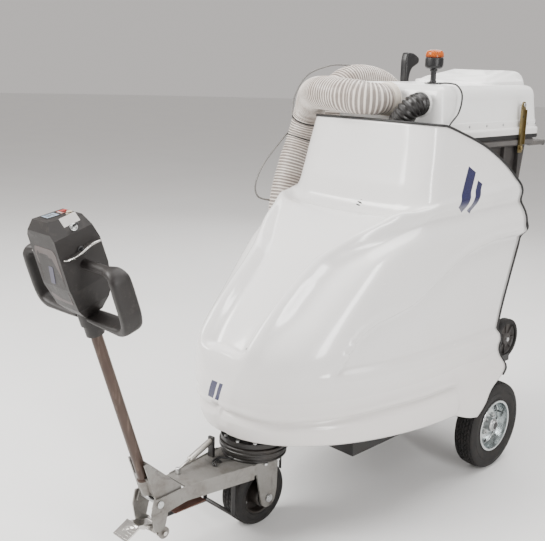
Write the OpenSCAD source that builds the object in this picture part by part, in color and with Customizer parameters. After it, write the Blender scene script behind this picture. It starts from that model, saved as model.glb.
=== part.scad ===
// Walk-along litter vacuum: tiller-steered drive wheel, white body shell,
// wheeled bin on a rear deck under a hinged suction lid. Units are mm,
// +Z is up, -Y is the front, +X is the machine's left.

/* [Chassis] */
// Distance from the rear axle to the drive wheel axle
wheelbase = 1120; // [1080:10:1160]
// Overall height of the two frame rails
rail_h = 50; // [40:1:55]
// Distance of each rail's middle from the centre plane
rail_x = 180; // [170:1:190]
// Diameter of the rear axle tube
axle_d = 40; // [30:1:46]
// Diameter of the rear stub ends that carry the hubs
stub_d = 20; // [16:1:24]
// Height of the deck the bin stands on
deck_z = 443; // [440:1:446]
// Length of the bin deck
deck_l = 610; // [590:5:620]
// Thickness of the bin deck sheet
deck_t = 5; // [3:1:6]

/* [Rear wheels] */
// Radius of a rear tyre
tyre_r = 200; // [190:1:205]
// Width of a rear tyre
tyre_w = 95; // [80:1:98]
// Distance of a rear tyre's middle plane from the centre plane
track_half = 353; // [350:1:360]
// Radius of the rear rim at its bead
rim_r = 112; // [100:1:120]

/* [Drive wheel] */
// Radius of the drive tyre
drive_r = 130; // [120:1:135]
// Width of the drive tyre
drive_w = 96; // [80:2:110]
// Diameter of the drive axle
drive_axle_d = 20; // [16:1:24]

/* [Steering] */
// Outside radius of the slewing ring
slew_r = 135; // [120:1:145]
// Height of one half of the slewing ring
slew_h = 28; // [20:1:30]
// Thickness of the steering bracket plate
plate_t = 8; // [6:1:10]
// Distance from the steering axis to the tiller pivot
tip_reach = 497; // [480:1:520]
// Diameter of the tiller pivot pin
pivot_d = 16; // [12:1:20]

/* [Tiller] */
// Angle the tiller leans forward when it stands at rest
tiller_lean = 17.4; // [12:0.2:24]
// Distance along the tiller from its pivot to the head's neck
tiller_l = 763; // [740:2:780]
// Diameter of the tiller tube
tiller_d = 38; // [32:1:42]
// Width of the tiller head between the handles
head_w = 152; // [146:2:156]
// Length of the tiller head
head_l = 330; // [324:2:336]
// Distance from one handle's outside to the other's
grip_span = 520; // [500:2:540]

/* [Shell] */
// Wall thickness of the body shell
shell_t = 4; // [3:0.5:6]
// Radius of the rubber edging round the shell
trim_r = 5; // [4:0.5:6]

/* [Bin and lid] */
// Width of the bin's rim
bin_w = 580; // [560:5:590]
// Height of the bin's rim above the deck
bin_h = 1022; // [1000:2:1024]
// Radius of a bin wheel
bin_wheel_r = 96; // [90:1:100]
// Width of the lid
lid_w = 580; // [560:5:590]
// Length of the lid
lid_l = 796; // [780:2:800]
// Height of the lid
lid_h = 210; // [206:2:216]
// Wall thickness of the lid
lid_t = 4; // [3:0.5:5]

/* [Suction] */
// Outside diameter of the suction hose
hose_d = 120; // [110:2:122]
// Outside diameter of the fan hose
fan_hose_d = 92; // [80:2:92]
// Inside diameter of the wand's mouth
wand_bore = 112; // [100:2:114]

/* [Hidden] */
$fn = 48;
ay = 775;                       // the rear axle's place along Y
clear = 0.3;                    // gap between pieces that don't touch
fit = 0.05;                     // radial clearance of a running fit
wb = -wheelbase;                // drive axle along Y from the rear axle
rail_top = 400;
rail_bot = rail_top - rail_h;
slew_z = 302;                   // underside of the lower slewing half
plate_z = slew_z - plate_t;
pivot_y = wb - tip_reach;
pivot_z = 276;
deck_bot = deck_z - deck_t;
deck_back = 222;
bin_top = deck_z + bin_h;
lid_z = bin_top + 19;
hinge_y = -418;
hinge_z = lid_z + 8;
lid_front = -430;
fan_y = -735;
fan_z = 800;
hose_x = 22;
cuff_l = 34;                    // how far the suction cuff stands out
fan_hose_x = 186;
port_z = 1630;
wand_x = -412;
wand_y = 182;

// ---- helpers ----
module place(c) { color(c) translate([0, ay, 0]) children(); }

module box(x0, x1, y0, y1, z0, z1) {
  translate([x0, y0, z0]) cube([x1 - x0, y1 - y0, z1 - z0]);
}

module along_x(x0, x1, r) {
  translate([x0, 0, 0]) rotate([0, 90, 0]) cylinder(h = x1 - x0, r = r);
}

module along_y(y0, y1, r) {
  translate([0, y1, 0]) rotate([90, 0, 0]) cylinder(h = y1 - y0, r = r);
}

module round_rect(w, l, r) {
  square([w - 2 * r, l], center = true);
  square([w, l - 2 * r], center = true);
  for (x = [-1, 1], y = [-1, 1])
    translate([x * (w / 2 - r), y * (l / 2 - r)]) circle(r = r);
}

// A profile given in X and Z, drawn out along Y from y0 to y1
module drawn_y(y0, y1) {
  translate([0, y1, 0]) rotate([90, 0, 0]) linear_extrude(y1 - y0) children();
}

// A profile given in Y and Z, drawn out along X from x0 to x1
module drawn_x(x0, x1) {
  translate([x0, 0, 0]) rotate([90, 0, 90]) linear_extrude(x1 - x0) children();
}

// A point on the smooth curve through pts, at u from 0 to len(pts) - 1
function on_curve(pts, u) =
  let (n = len(pts), i = min(floor(u), n - 2), f = u - i,
       a = pts[max(i - 1, 0)], b = pts[i], c = pts[i + 1], d = pts[min(i + 2, n - 1)])
  0.5 * (2 * b + (c - a) * f + (2 * a - 5 * b + 4 * c - d) * f * f
         + (3 * b - a - 3 * c + d) * f * f * f);
function curve(pts, steps) =
  [for (k = [0 : (len(pts) - 1) * steps]) on_curve(pts, k / steps)];
function unit(v) = v / norm(v);

// A round tube of radius r along a path; ref is never along the path
module swept(path, r, sides, ref) {
  n = len(path);
  rings = [for (i = [0 : n - 1])
    let (t = unit(path[min(i + 1, n - 1)] - path[max(i - 1, 0)]),
         u = unit(cross(t, ref)), v = cross(t, u))
    for (k = [0 : sides - 1])
      path[i] + r * (cos(360 * k / sides) * u + sin(360 * k / sides) * v)];
  walls = [for (i = [0 : n - 2], k = [0 : sides - 1])
    let (a = i * sides + k, b = i * sides + (k + 1) % sides)
    [a, a + sides, b + sides, b]];
  polyhedron(concat(rings), concat(walls,
    [[for (k = [0 : sides - 1]) k]],
    [[for (k = [sides - 1 : -1 : 0]) (n - 1) * sides + k]]), convexity = 6);
}

// ---- body shell ----
// Rows from the lip to the top edge: front z, front y, half width of the
// flat front, half width, y where the side turns straight, rear z, rear y
rows = [
  [412, -1262, 20, 444, -450, 350, -276], [462, -1288, 20, 455, -450, 400, -240],
  [530, -1310, 20, 450, -470, 450, -190], [600, -1322, 30, 440, -500, 505, -78],
  [680, -1312, 50, 430, -520, 575, -88], [760, -1282, 70, 420, -550, 655, -74],
  [840, -1222, 80, 410, -580, 755, -34], [920, -1142, 90, 402, -600, 865, 18],
  [1000, -1047, 100, 396, -620, 985, 72], [1080, -950, 120, 388, -620, 1080, 100],
  [1140, -866, 140, 381, -600, 1150, 86], [1180, -780, 170, 374, -560, 1210, 48],
  [1206, -694, 200, 366, -520, 1270, -2], [1230, -622, 230, 358, -500, 1330, -64],
  [1320, -594, 235, 346, -485, 1390, -150], [1430, -568, 230, 334, -475, 1460, -280],
  [1550, -545, 225, 322, -450, 1530, -420]];
cols = 13;                      // columns on each side of the centre plane
function part_of(c) = abs(c) / cols;
// The outside of the shell at row r and column c, -cols to cols
function skin(r, c, off) =
  let (w = rows[r], t = part_of(c), s = sign(c),
       turn = 90 * min(max((t - 0.2) / 0.5, 0), 1),
       x = t < 0.2 ? w[2] * t / 0.2 : w[2] + (w[3] - w[2]) * sin(turn),
       y = t < 0.7 ? w[4] - (w[4] - w[1]) * cos(turn)
         : w[4] + (w[6] - w[4]) * (t - 0.7) / 0.3,
       z = w[0] + (w[5] - w[0]) * t * t)
  [s * x * (1 - off / w[3]), y + off * cos(turn), z - off * 0.75];

module body_shell() place("white") {
  nr = len(rows);
  nc = 2 * cols + 1;
  outer = [for (r = [0 : nr - 1], c = [-cols : cols]) skin(r, c, 0)];
  inner = [for (r = [0 : nr - 1], c = [-cols : cols]) skin(r, c, shell_t)];
  half = nr * nc;
  faces_out = [for (r = [0 : nr - 2], c = [0 : nc - 2])
    let (a = r * nc + c) [a, a + nc, a + nc + 1, a + 1]];
  faces_in = [for (f = faces_out) [f[0] + half, f[3] + half, f[2] + half, f[1] + half]];
  low = [for (c = [0 : nc - 2]) [c, c + 1, half + c + 1, half + c]];
  top = [for (c = [0 : nc - 2]) let (a = (nr - 1) * nc + c)
    [a, half + a, half + a + 1, a + 1]];
  right = [for (r = [0 : nr - 2]) let (a = r * nc)
    [a, half + a, half + a + nc, a + nc]];
  left = [for (r = [0 : nr - 2]) let (a = r * nc + nc - 1)
    [a, a + nc, half + a + nc, half + a]];
  polyhedron(concat(outer, inner),
    concat(faces_out, faces_in, low, top, right, left), convexity = 10);
}

// The shell's free edge from the right fender over the top to the left
top_row = len(rows) - 1;
edge_out = trim_r + 0.8;
function side_edge(r, c) =
  let (a = skin(max(r - 1, 3), c, shell_t / 2), b = skin(min(r + 1, top_row), c, shell_t / 2),
       d = unit([0, b[1] - a[1], b[2] - a[2]]))
  skin(r, c, shell_t / 2) + edge_out * [0, d[2], -d[1]];
edge_path = concat(
  [for (r = [3 : top_row - 1]) side_edge(r, -cols)],
  [for (c = [-cols : cols]) skin(top_row, c, shell_t / 2) + [0, 1, edge_out + 1]],
  [for (r = [top_row - 1 : -1 : 3]) side_edge(r, cols)]);
module shell_trim() place("#15161a") {
  n = len(edge_path);
  sides = 8;
  // the section turns with the path: one axis stays square to it and to X or Y
  rings = [for (i = [0 : n - 1])
    let (t = unit(edge_path[min(i + 1, n - 1)] - edge_path[max(i - 1, 0)]),
         m = i < 13 || i > n - 14 ? [1, 0, 0] : unit([t[1] * (i < n / 2 ? 1 : 1), -t[0], 0]),
         q = i < 13 ? [1, 0, 0] : i > n - 14 ? [-1, 0, 0] : m,
         u = unit(q - t * (q * t)), v = cross(t, u))
    for (k = [0 : sides - 1])
      edge_path[i] + trim_r * (cos(360 * k / sides) * u + sin(360 * k / sides) * v)];
  walls = [for (i = [0 : n - 2], k = [0 : sides - 1])
    let (a = i * sides + k, b = i * sides + (k + 1) % sides)
    [a, a + sides, b + sides, b]];
  polyhedron(rings, concat(walls, [[for (k = [0 : sides - 1]) k]],
    [[for (k = [sides - 1 : -1 : 0]) (n - 1) * sides + k]]), convexity = 6);
}

// ---- chassis ----
module main_frame() place("#26282c") {
  for (s = [-1, 1]) {
    box(s * rail_x - 20, s * rail_x + 20, wb + 120, 200, rail_bot, rail_top);
    // hanger plates for the rear axle
    difference() {
      box(s * 240 - 4, s * 240 + 4, -50, 50, 165, rail_top);
      translate([0, 0, tyre_r]) along_x(-260, 260, axle_d / 2);
    }
    box(min(s * 160, s * 244), max(s * 160, s * 244), -50, 50, rail_top - 8, rail_top);
    // posts under the deck
    for (y = [-330, 110])
      box(s * rail_x - 15, s * rail_x + 15, y, y + 30, rail_top, deck_bot);
  }
  for (y = [-800, -320, 165]) box(-165, 165, y, y + 30, rail_bot, rail_top);
  // head plate over the slewing ring
  translate([0, wb, rail_bot + 12]) cylinder(h = 18, r = slew_r - 6);
  box(-100, 100, wb, wb + 140, rail_bot + 12, rail_top - 20);
  box(-rail_x, rail_x, wb + 110, wb + 150, rail_bot + 12, rail_top);
}

module rear_axle() place("#2b2d31") translate([0, 0, tyre_r]) {
  along_x(-290, 290, axle_d / 2);
  along_x(-track_half - 38, track_half + 38, stub_d / 2);
}

module bin_deck() place("#33363b") {
  box(-312, 312, deck_back - deck_l, deck_back, deck_bot, deck_z);
  for (s = [-1, 1]) box(s * 310 - 2, s * 310 + 2, deck_back - deck_l, deck_back, deck_bot, deck_z + 30);
}

module battery_tray() place("#2a2c30") difference() {
  box(-198, 198, -756, -336, 223, rail_bot);
  box(-194, 194, -752, -340, 227, rail_bot + 10);
}

module battery_pack() place("#3a3d42") for (y = [-745, -545]) {
  box(-150, 150, y, y + 190, 227, 424);
  for (x = [-120, 120]) translate([x, y + 40, 424]) cylinder(h = 10, d = 18);
}

fan_r = 165;
fan_top = fan_z + 120;
module fan_housing() place("#45484d") {
  difference() {
    union() {
      translate([0, fan_y, fan_z]) cylinder(h = 120, r = fan_r);
      // outlet duct to the right
      box(-270, 0, fan_y + 60, fan_y + 160, fan_z, fan_z + 120);
    }
    translate([0, fan_y, fan_z + 5]) cylinder(h = 110, r = fan_r - 5);
    box(-280, 0, fan_y + 65, fan_y + 155, fan_z + 5, fan_z + 115);
    translate([0, fan_y, fan_top - 10]) cylinder(h = 20, d = fan_hose_d - 10);
    translate([0, fan_y, fan_z - 1]) cylinder(h = 10, r = 14);
  }
  difference() {
    translate([0, fan_y, fan_top]) cylinder(h = 30, d = fan_hose_d);
    translate([0, fan_y, fan_top - 1]) cylinder(h = 32, d = fan_hose_d - 10);
  }
  // legs down to the rails
  for (s = [-1, 1], y = [-130, 80])
    box(s * rail_x - 12, s * rail_x + 12, fan_y + y, fan_y + y + 24, rail_top, fan_z);
  for (y = [-130, 80])
    box(-rail_x, rail_x, fan_y + y, fan_y + y + 24, fan_z - 12, fan_z);
}

module fan_motor() place("#5b5f66") translate([0, fan_y, 0]) {
  translate([0, 0, 560]) cylinder(h = fan_z - 560, r = 76);
  translate([0, 0, fan_z]) cylinder(h = 40, r = 10);
}

module fan_impeller() place("#8d9198") translate([0, fan_y, fan_z]) difference() {
  union() {
    translate([0, 0, 20]) cylinder(h = 8, r = 145);
    cylinder(h = 60, r = 24);
    for (k = [0 : 7]) rotate([0, 0, 45 * k]) box(30, 140, -2, 2, 27, 80);
  }
  translate([0, 0, -1]) cylinder(h = 70, r = 10 + fit);
  translate([0, 0, -1]) cylinder(h = 11, r = 30);
}

module lid_frame() place("#26282c") {
  for (s = [-1, 1]) {
    box(s * 245 - 15, s * 245 + 15, -420, -390, rail_top, hinge_z - 60);
    box(min(s * (rail_x + 20), s * 260), max(s * (rail_x + 20), s * 260), -420, -390, rail_top - 30, rail_top);
    // hinge ear beside the lid's own lug
    difference() {
      union() {
        box(s * 245 - 4, s * 245 + 4, hinge_y - 16, -390, hinge_z - 60, hinge_z - 14);
        translate([0, hinge_y, hinge_z]) along_x(s * 245 - 4, s * 245 + 4, 12);
        box(s * 245 - 4, s * 245 + 4, hinge_y - 10, hinge_y + 10, hinge_z - 20, hinge_z);
      }
      translate([0, hinge_y, hinge_z]) along_x(-300, 300, 6);
    }
  }
  box(-245, 245, -420, -390, hinge_z - 90, hinge_z - 60);
}

module lid_hinge_pin() place("#9a9da3") translate([0, hinge_y, hinge_z]) {
  for (s = [-1, 1]) along_x(s > 0 ? 225 : -256, s > 0 ? 256 : -225, 6);
}

module ground_strap() place("#141416") {
  box(-6, 6, -973, -969, 171, rail_bot + 12);
}

module frame_bolts() place("#a7abb1") {
  for (a = [190 : 32 : 350]) translate([0, wb, 0]) rotate([0, 0, a])
    translate([slew_r - 14, 0, slew_z + 2 * slew_h + clear + 22]) cylinder(h = 6, d = 16, $fn = 6);
  for (s = [-1, 1], y = [-30, 30])
    translate([0, y, 300]) along_x(s > 0 ? 244 : -250, s > 0 ? 250 : -244, 8);
}

// ---- steering ----
module turntable_upper() place("#1d1e21") translate([0, wb, slew_z + slew_h + clear]) {
  difference() {
    cylinder(h = slew_h, r = slew_r);
    translate([0, 0, -1]) cylinder(h = slew_h + 2, r = slew_r - 55);
    translate([0, 0, -1]) cylinder(h = 11, r = slew_r - 40);
  }
  // spacer up to the head plate
  difference() {
    translate([0, 0, slew_h]) cylinder(h = 3.7, r = slew_r - 10);
    translate([0, 0, -1]) cylinder(h = slew_h + 9, r = slew_r - 55);
  }
}

module turntable_lower() place("#17181b") translate([0, wb, slew_z]) difference() {
  union() {
    cylinder(h = slew_h, r = slew_r - 8);
    // bearing race inside the upper half
    cylinder(h = slew_h + 8, r = slew_r - 40 - 0.3);
  }
  translate([0, 0, -1]) cylinder(h = slew_h + 20, r = slew_r - 60);
}

kite = [[-58, -380], [58, -380], [104, -95], [86, 48], [-86, 48], [-104, -95]];
cheek_x = 82;                   // middle of a fork cheek
module steering_bracket() place("#9fa3a6") translate([0, wb, 0]) {
  translate([0, 0, plate_z]) linear_extrude(plate_t) difference() {
    polygon(kite);
    circle(r = 40);
  }
  for (s = [-1, 1]) {
    // folded side flange along the plate, and on past the tiller pivot
    translate([s * 58, -380, plate_z - 48]) rotate([0, 0, -s * atan2(46, 285)])
      translate([s > 0 ? -6 : 0, -4, 0]) cube([6, 294, 50]);
    difference() {
      union() {
        drawn_x(s * 55 - 3, s * 55 + 3) polygon([[-374, plate_z - 48], [-374, plate_z + plate_t],
          [-520, plate_z + plate_t - 6], [-532, pivot_z - 30], [-520, 176], [-480, 166],
          [-462, plate_z - 60]]);
        translate([0, -480, 160]) along_x(s * 55 - 3, s * 55 + 3, 22);
      }
      translate([0, -tip_reach, pivot_z]) along_x(-80, 80, pivot_d / 2);
      translate([0, -480, 160]) along_x(-80, 80, 8);
    }
    // fork cheek beside the drive wheel
    difference() {
      union() {
        drawn_x(s * cheek_x - 4, s * cheek_x + 4)
          polygon([[-80, plate_z + 2], [48, plate_z + 2], [44, drive_r + 20], [36, drive_r - 12],
            [-36, drive_r - 12], [-62, plate_z - 46], [-80, plate_z - 46]]);
        translate([0, 0, drive_r]) along_x(s * cheek_x - 4, s * cheek_x + 4, 38);
      }
      translate([0, 0, drive_r]) along_x(-90, 90, drive_axle_d / 2);
    }
  }
}

module drive_axle() place("#8f9399") translate([0, wb, drive_r]) {
  along_x(-98, 98, drive_axle_d / 2);
  for (s = [-1, 1]) along_x(s > 0 ? 86.3 : -94, s > 0 ? 94 : -86.3, 15);
}

module drive_tyre() place("#1b1b1d") translate([0, wb, drive_r]) rotate([0, 90, 0])
  rotate_extrude() {
    difference() {
      translate([82, -drive_w / 2]) square([drive_r - 82, drive_w]);
      for (x = [-24, 0, 24]) translate([drive_r - 4, x - 3]) square([8, 6]);
      for (s = [-1, 1]) translate([drive_r, s * drive_w / 2]) rotate(45)
        square(14, center = true);
    }
  }

module drive_hub() place("#8b8e92") translate([0, wb, drive_r]) rotate([0, 90, 0])
  rotate_extrude() {
    translate([drive_axle_d / 2 + fit, -68]) square([34, 136]);
    translate([drive_axle_d / 2 + fit, -8]) square([82 - drive_axle_d / 2 - fit, 16]);
    translate([74, -drive_w / 2 + 4]) square([8, drive_w - 8]);
  }

module front_guard() place("#2a2b2d") translate([0, wb, 0]) {
  // bar across in front of the tyre, and its long arm on the right side
  translate([0, -178, 124]) along_x(-80, 84, 8);
  translate([-72, -178, 124]) rotate([atan2(-12, 300), 0, 0]) along_y(-292, 0, 8);
  // hanger up to the side flanges
  for (s = [-1, 1]) box(s * 80 - 3, s * 80 + 3, -186, -170, 124, plate_z - 30);
}

module gas_spring() place("#c9ccd0") translate([0, wb, slew_z]) {
  translate([-38, -345, 14]) rotate([0, 0, 8]) {
    rotate([16, 0, 0]) {
      along_y(60, 190, 11);
      along_y(0, 70, 5);
    }
    box(-9, 9, -4, 6, -14 + clear, 8);
    box(-12, 12, 178, 190, -14 + clear, 66);
  }
}

module tiller_pivot_pin() place("#a9adb2") translate([0, pivot_y, pivot_z]) {
  along_x(-66, 66, pivot_d / 2);
  for (s = [-1, 1]) along_x(s > 0 ? 58.3 : -64, s > 0 ? 64 : -58.3, 13);
}

// ---- tiller, drawn upright at its pivot and then leaned forward ----
module leaned() {
  translate([0, pivot_y, pivot_z]) rotate([tiller_lean, 0, 0]) children();
}

module tiller_foot() place("#5a4c45") translate([0, pivot_y, pivot_z]) difference() {
  union() {
    for (s = [-1, 1]) drawn_x(s * 45 - 4, s * 45 + 4)
      polygon([[-24, -16], [-6, -24], [16, -18], [26, 0], [100, 22], [100, 34], [-34, 158],
        [-56, 158], [-12, 20]]);
    // sloping web between the cheeks
    drawn_x(-42, 42) polygon([[98, 22], [100, 34], [-34, 158], [-40, 152]]);
    leaned_here() translate([0, 0, 30]) cylinder(h = 60, d = tiller_d + 8);
    leaned_here() box(-42, 42, -6, 6, 40, 100);
  }
  along_x(-60, 60, pivot_d / 2 + fit);
  leaned_here() cylinder(h = 300, d = tiller_d - 6 + 2 * clear);
  leaned_here() translate([0, 0, 60]) cylinder(h = 300, d = tiller_d + 2 * clear);
}

module leaned_here() { rotate([tiller_lean, 0, 0]) children(); }

module tiller_tube() place("#4a3f3a") leaned() {
  difference() {
    translate([0, 0, 60]) cylinder(h = tiller_l - 145, d = tiller_d);
    translate([0, 0, 59]) cylinder(h = tiller_l, d = tiller_d - 6);
  }
}

neck_l = 85;                    // length of the round neck under the head
module head_housing() place("#2c2a2b") leaned() translate([0, 0, tiller_l]) difference() {
  union() {
    intersection() {
      drawn_x(-head_w / 2, head_w / 2) polygon([[-34, 0], [30, 0], [62, 60], [76, 150],
        [74, 235], [52, head_l - 16], [-58, head_l], [-72, head_l - 32], [-74, 120], [-60, 40]]);
      drawn_y(-90, 90) polygon([[-36, -1], [36, -1], [62, 40], [head_w / 2, 110],
        [head_w / 2, head_l - 50], [41, head_l], [41, head_l + 20], [-41, head_l + 20],
        [-41, head_l], [-head_w / 2, head_l - 50], [-head_w / 2, 110], [-62, 40]]);
    }
    translate([0, 0, -neck_l]) cylinder(h = neck_l + 40, r = 30);
    translate([0, 0, -44]) cylinder(h = 46, r = 36);
  }
  translate([0, 0, -neck_l - 1]) cylinder(h = 62, d = tiller_d + 2 * clear);
  // way through for the throttle shaft, and seats of the controls
  translate([0, 0, throttle_h]) along_x(-head_w, head_w, 9.05);
  top_at(red_x, red_y) translate([0, 0, -12]) cylinder(h = 40, r = 8.35);
  top_at(horn_x, horn_y) translate([0, 0, -12]) cylinder(h = 40, r = 6.35);
  on_chamfer(0.74, 6) translate([0, 0, -22]) cylinder(h = 60, r = 8.05);
  top_at(-13, -13) box(-21.3, 21.3, -23.3, 23.3, -1.5, 20);
}

throttle_h = 222;
red_x = -16; red_y = 33;
horn_x = 18; horn_y = 33;
// A place on the head's sloping top face, and on its left upper chamfer
module top_at(x, y) {
  translate([0, -58, head_l]) rotate([-atan2(16, 110), 0, 0]) translate([x, y + 58, 0]) children();
}
module on_chamfer(u, y) {
  translate([41 + u * (head_w / 2 - 41), y, head_l - 50 * u])
    rotate([0, atan2(50, head_w / 2 - 41), 0]) children();
}

module handle(s) {
  w = grip_span / 2;
  x0 = head_w / 2 + clear;
  leaned() translate([0, 0, tiller_l]) mirror([s > 0 ? 0 : 1, 0, 0]) {
    // broad outer bar and lower arm
    drawn_y(-34, 34) polygon([[w - 32, 150], [w - 32, 184], [w - 26, 190], [w - 10, 182], [w - 1, 160],
      [w, 34], [w - 9, -6], [w - 34, -24], [w - 60, -32], [36 + clear, -24], [36 + clear, -2],
      [60, -1], [w - 54, 2], [w - 38, 10], [w - 32, 36]]);
    // rounder upper arm
    drawn_y(-15, 15) polygon([[x0, 163], [x0, 191], [w - 30, 191], [w - 20, 186], [w - 20, 150],
      [w - 34, 150], [w - 44, 163]]);
  }
}
module handle_left() place("#262425") handle(1);
module handle_right() place("#262425") handle(-1);

module display_panel() place("#5b6f80") leaned() translate([0, 0, tiller_l])
  top_at(-13, -13) box(-21, 21, -23, 23, -1.2, 1.5);

module stop_button() place("#b3201d") leaned() translate([0, 0, tiller_l]) top_at(red_x, red_y) {
  translate([0, 0, 4.3]) cylinder(h = 6, r = 12);
  translate([0, 0, -7]) cylinder(h = 13, r = 8.3);
}

module horn_button() place("#b9ae9a") leaned() translate([0, 0, tiller_l]) top_at(horn_x, horn_y) {
  translate([0, 0, 4.3]) cylinder(h = 4, r = 9);
  translate([0, 0, -7]) cylinder(h = 13, r = 6.3);
}

module key_switch() place("#1c1c1d") leaned() translate([0, 0, tiller_l]) on_chamfer(0.74, 6) {
  translate([0, 0, -21]) cylinder(h = 24, r = 8);
  box(-2, 2, -9, 9, 2, 26);
}

// S-shaped wings on one shaft through the head, along y outside each side
wing = [for (k = [0 : 12]) let (y = -66 + 11 * k) [y, 7 * sin(y / 66 * 150) + 1]];
module throttle_butterfly() place("#b9bcc0") leaned() translate([0, 0, tiller_l + throttle_h]) {
  along_x(-head_w / 2 - 22, head_w / 2 + 22, 9);
  for (s = [-1, 1]) drawn_x(s > 0 ? head_w / 2 + 3 : -head_w / 2 - 24, s > 0 ? head_w / 2 + 24 : -head_w / 2 - 3)
    polygon(concat([for (q = wing) q + [0, 5]], [for (k = [12 : -1 : 0]) wing[k] - [0, 2]]));
}

module foot_pedal() place("#c3c6ca") translate([0, wb - 480, 160]) {
  along_x(-66, 66, 8 - fit);
  difference() {
    union() {
      along_x(-40, 40, 20);
      drawn_x(-26, 26) polygon([[-14, -14], [10, -14], [10, 14], [-30, 34], [-92, 48], [-96, 40], [-40, 12]]);
    }
    translate([0, -52, 20]) along_x(-60, 60, 7);
  }
  translate([0, -92, 40]) rotate([28, 0, 0]) box(-38, 38, -60, 8, 0, 6);
}

// ---- rear wheels ----
module tyre_ring(s) { translate([s * track_half, 0, tyre_r]) rotate([0, 90, 0]) children(); }
module rear_tyre(s) {
  tyre_ring(s) rotate_extrude() difference() {
    union() {
      translate([rim_r, -tyre_w / 2 + 8]) square([tyre_r - rim_r - 14, tyre_w - 16]);
      translate([tyre_r - 42, -tyre_w / 2]) square([24, tyre_w]);
      translate([tyre_r - 30, -tyre_w / 2 + 10]) square([30, tyre_w - 20]);
      for (k = [-1, 1]) translate([tyre_r - 20, k * (tyre_w / 2 - 16)]) circle(r = 16);
    }
    translate([rim_r - 1, -tyre_w / 2 + 20]) square([50, tyre_w - 40]);
    for (x = [-20, 0, 20]) translate([tyre_r - 7, x - 2]) square([12, 4]);
  }
}
module rear_tyre_left() place("#1a1a1c") rear_tyre(1);
module rear_tyre_right() place("#1a1a1c") rear_tyre(-1);

module rear_rim(s) {
  tyre_ring(s) mirror([0, 0, s > 0 ? 0 : 1]) difference() {
    rotate_extrude() {
      translate([rim_r - 5, -tyre_w / 2 + 4]) square([5, tyre_w - 8]);
      for (k = [-1, 1]) translate([rim_r - 5, k * (tyre_w / 2 - 4) - 1.6]) square([12, 3.2]);
      translate([30.3, -2]) square([rim_r - 33, 4]);
    }
    for (a = [0 : 90 : 270]) rotate([0, 0, a + 45]) translate([45, 0, -5]) cylinder(h = 12, r = 6);
  }
}
module rear_rim_left() place("#c4c8cc") rear_rim(1);
module rear_rim_right() place("#c4c8cc") rear_rim(-1);

module rear_hub(s) {
  tyre_ring(s) mirror([0, 0, s > 0 ? 0 : 1]) {
    difference() {
      union() {
        translate([0, 0, -34]) cylinder(h = 70, r = 30);
        translate([0, 0, -10]) cylinder(h = 8, r = 58);
        translate([0, 0, 39]) cylinder(h = 8, r = 22);
        translate([0, 0, 34]) cylinder(h = 8, r = 27);
      }
      translate([0, 0, -35]) cylinder(h = 75, r = stub_d / 2 + fit);
    }
    for (a = [0 : 90 : 270]) rotate([0, 0, a + 45]) translate([45, 0, -5]) {
      cylinder(h = 15, r = 5.7);
      translate([0, 0, 7.3]) cylinder(h = 8, r = 10, $fn = 6);
    }
  }
}
module rear_hub_left() place("#aeb2b6") rear_hub(1);
module rear_hub_right() place("#aeb2b6") rear_hub(-1);

// ---- lid ----
lid_mid = lid_front + lid_l / 2;
module rounded_block(w, l, h, rp, rt) {
  intersection() {
    linear_extrude(h) round_rect(w, l, rp);
    translate([0, l / 2, h / 2]) rotate([90, 0, 0]) linear_extrude(l) {
      round_rect(w, h, rt);
      translate([-w / 2, -h / 2]) square([w, h / 2]);
    }
    translate([-w / 2, 0, h / 2]) rotate([90, 0, 90]) linear_extrude(w) {
      round_rect(l, h, rt);
      translate([-l / 2, -h / 2]) square([l, h / 2]);
    }
  }
}
module lid_shell() place("#f4f4f2") {
  difference() {
    union() {
      translate([0, lid_mid, lid_z]) rounded_block(lid_w - 24, lid_l - 6, lid_h, 60, 40);
      translate([0, lid_mid, lid_z]) linear_extrude(26) round_rect(lid_w, lid_l, 66);
      // raised ribbed dome
      translate([0, 185, lid_z]) rounded_block(430, 320, lid_h + 60, 60, 40);
      // hinge lugs under the front edge
      for (s = [-1, 1]) translate([0, hinge_y, hinge_z]) along_x(s > 0 ? 225 : -240, s > 0 ? 240 : -225, 12);
    }
    translate([0, lid_mid, lid_z - 1]) rounded_block(lid_w - 32, lid_l - 14, lid_h - 3, 56, 36);
    translate([0, 185, lid_z - 1]) rounded_block(422, 312, lid_h + 57, 56, 36);
    // clearance pockets for the hinge ears
    for (s = [-1, 1]) translate([0, hinge_y, hinge_z]) along_x(s > 0 ? 240 : -250, s > 0 ? 250 : -240, 14);
    for (s = [-1, 1]) box(s > 0 ? 240 : -250, s > 0 ? 250 : -240, lid_front - 5, -388, lid_z - 2, hinge_z + 5);
    translate([0, hinge_y, hinge_z]) along_x(-262, 262, 6.05);
    translate([hose_x, lid_front, port_z]) along_y(-20, 40, hose_d / 2 - 8);
    translate([fan_hose_x, lid_front, port_z - 12]) along_y(-20, 40, fan_hose_d / 2 - 8);
  }
}

module lid_gasket() place("#141416") translate([0, lid_mid + 46, bin_top + clear]) difference() {
  linear_extrude(lid_z - bin_top - clear) round_rect(lid_w - 6, lid_l - 98, 60);
  translate([0, 0, -1]) linear_extrude(40) round_rect(lid_w - 46, lid_l - 138, 42);
}

module cuff(x, z, d, out) {
  difference() {
    union() {
      translate([x, lid_front, z]) along_y(-out, 0, d / 2 + 3);
      translate([x, lid_front, z]) along_y(-6, 0, d / 2 + 6);
    }
    translate([x, lid_front, z]) along_y(-36, 10, d / 2 - 8);
  }
}
module inlet_cuff() place("#d9dad8") cuff(hose_x, port_z, hose_d, cuff_l);
module fan_cuff() place("#e8e8e6") cuff(fan_hose_x, port_z - 12, fan_hose_d, 8);

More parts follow.
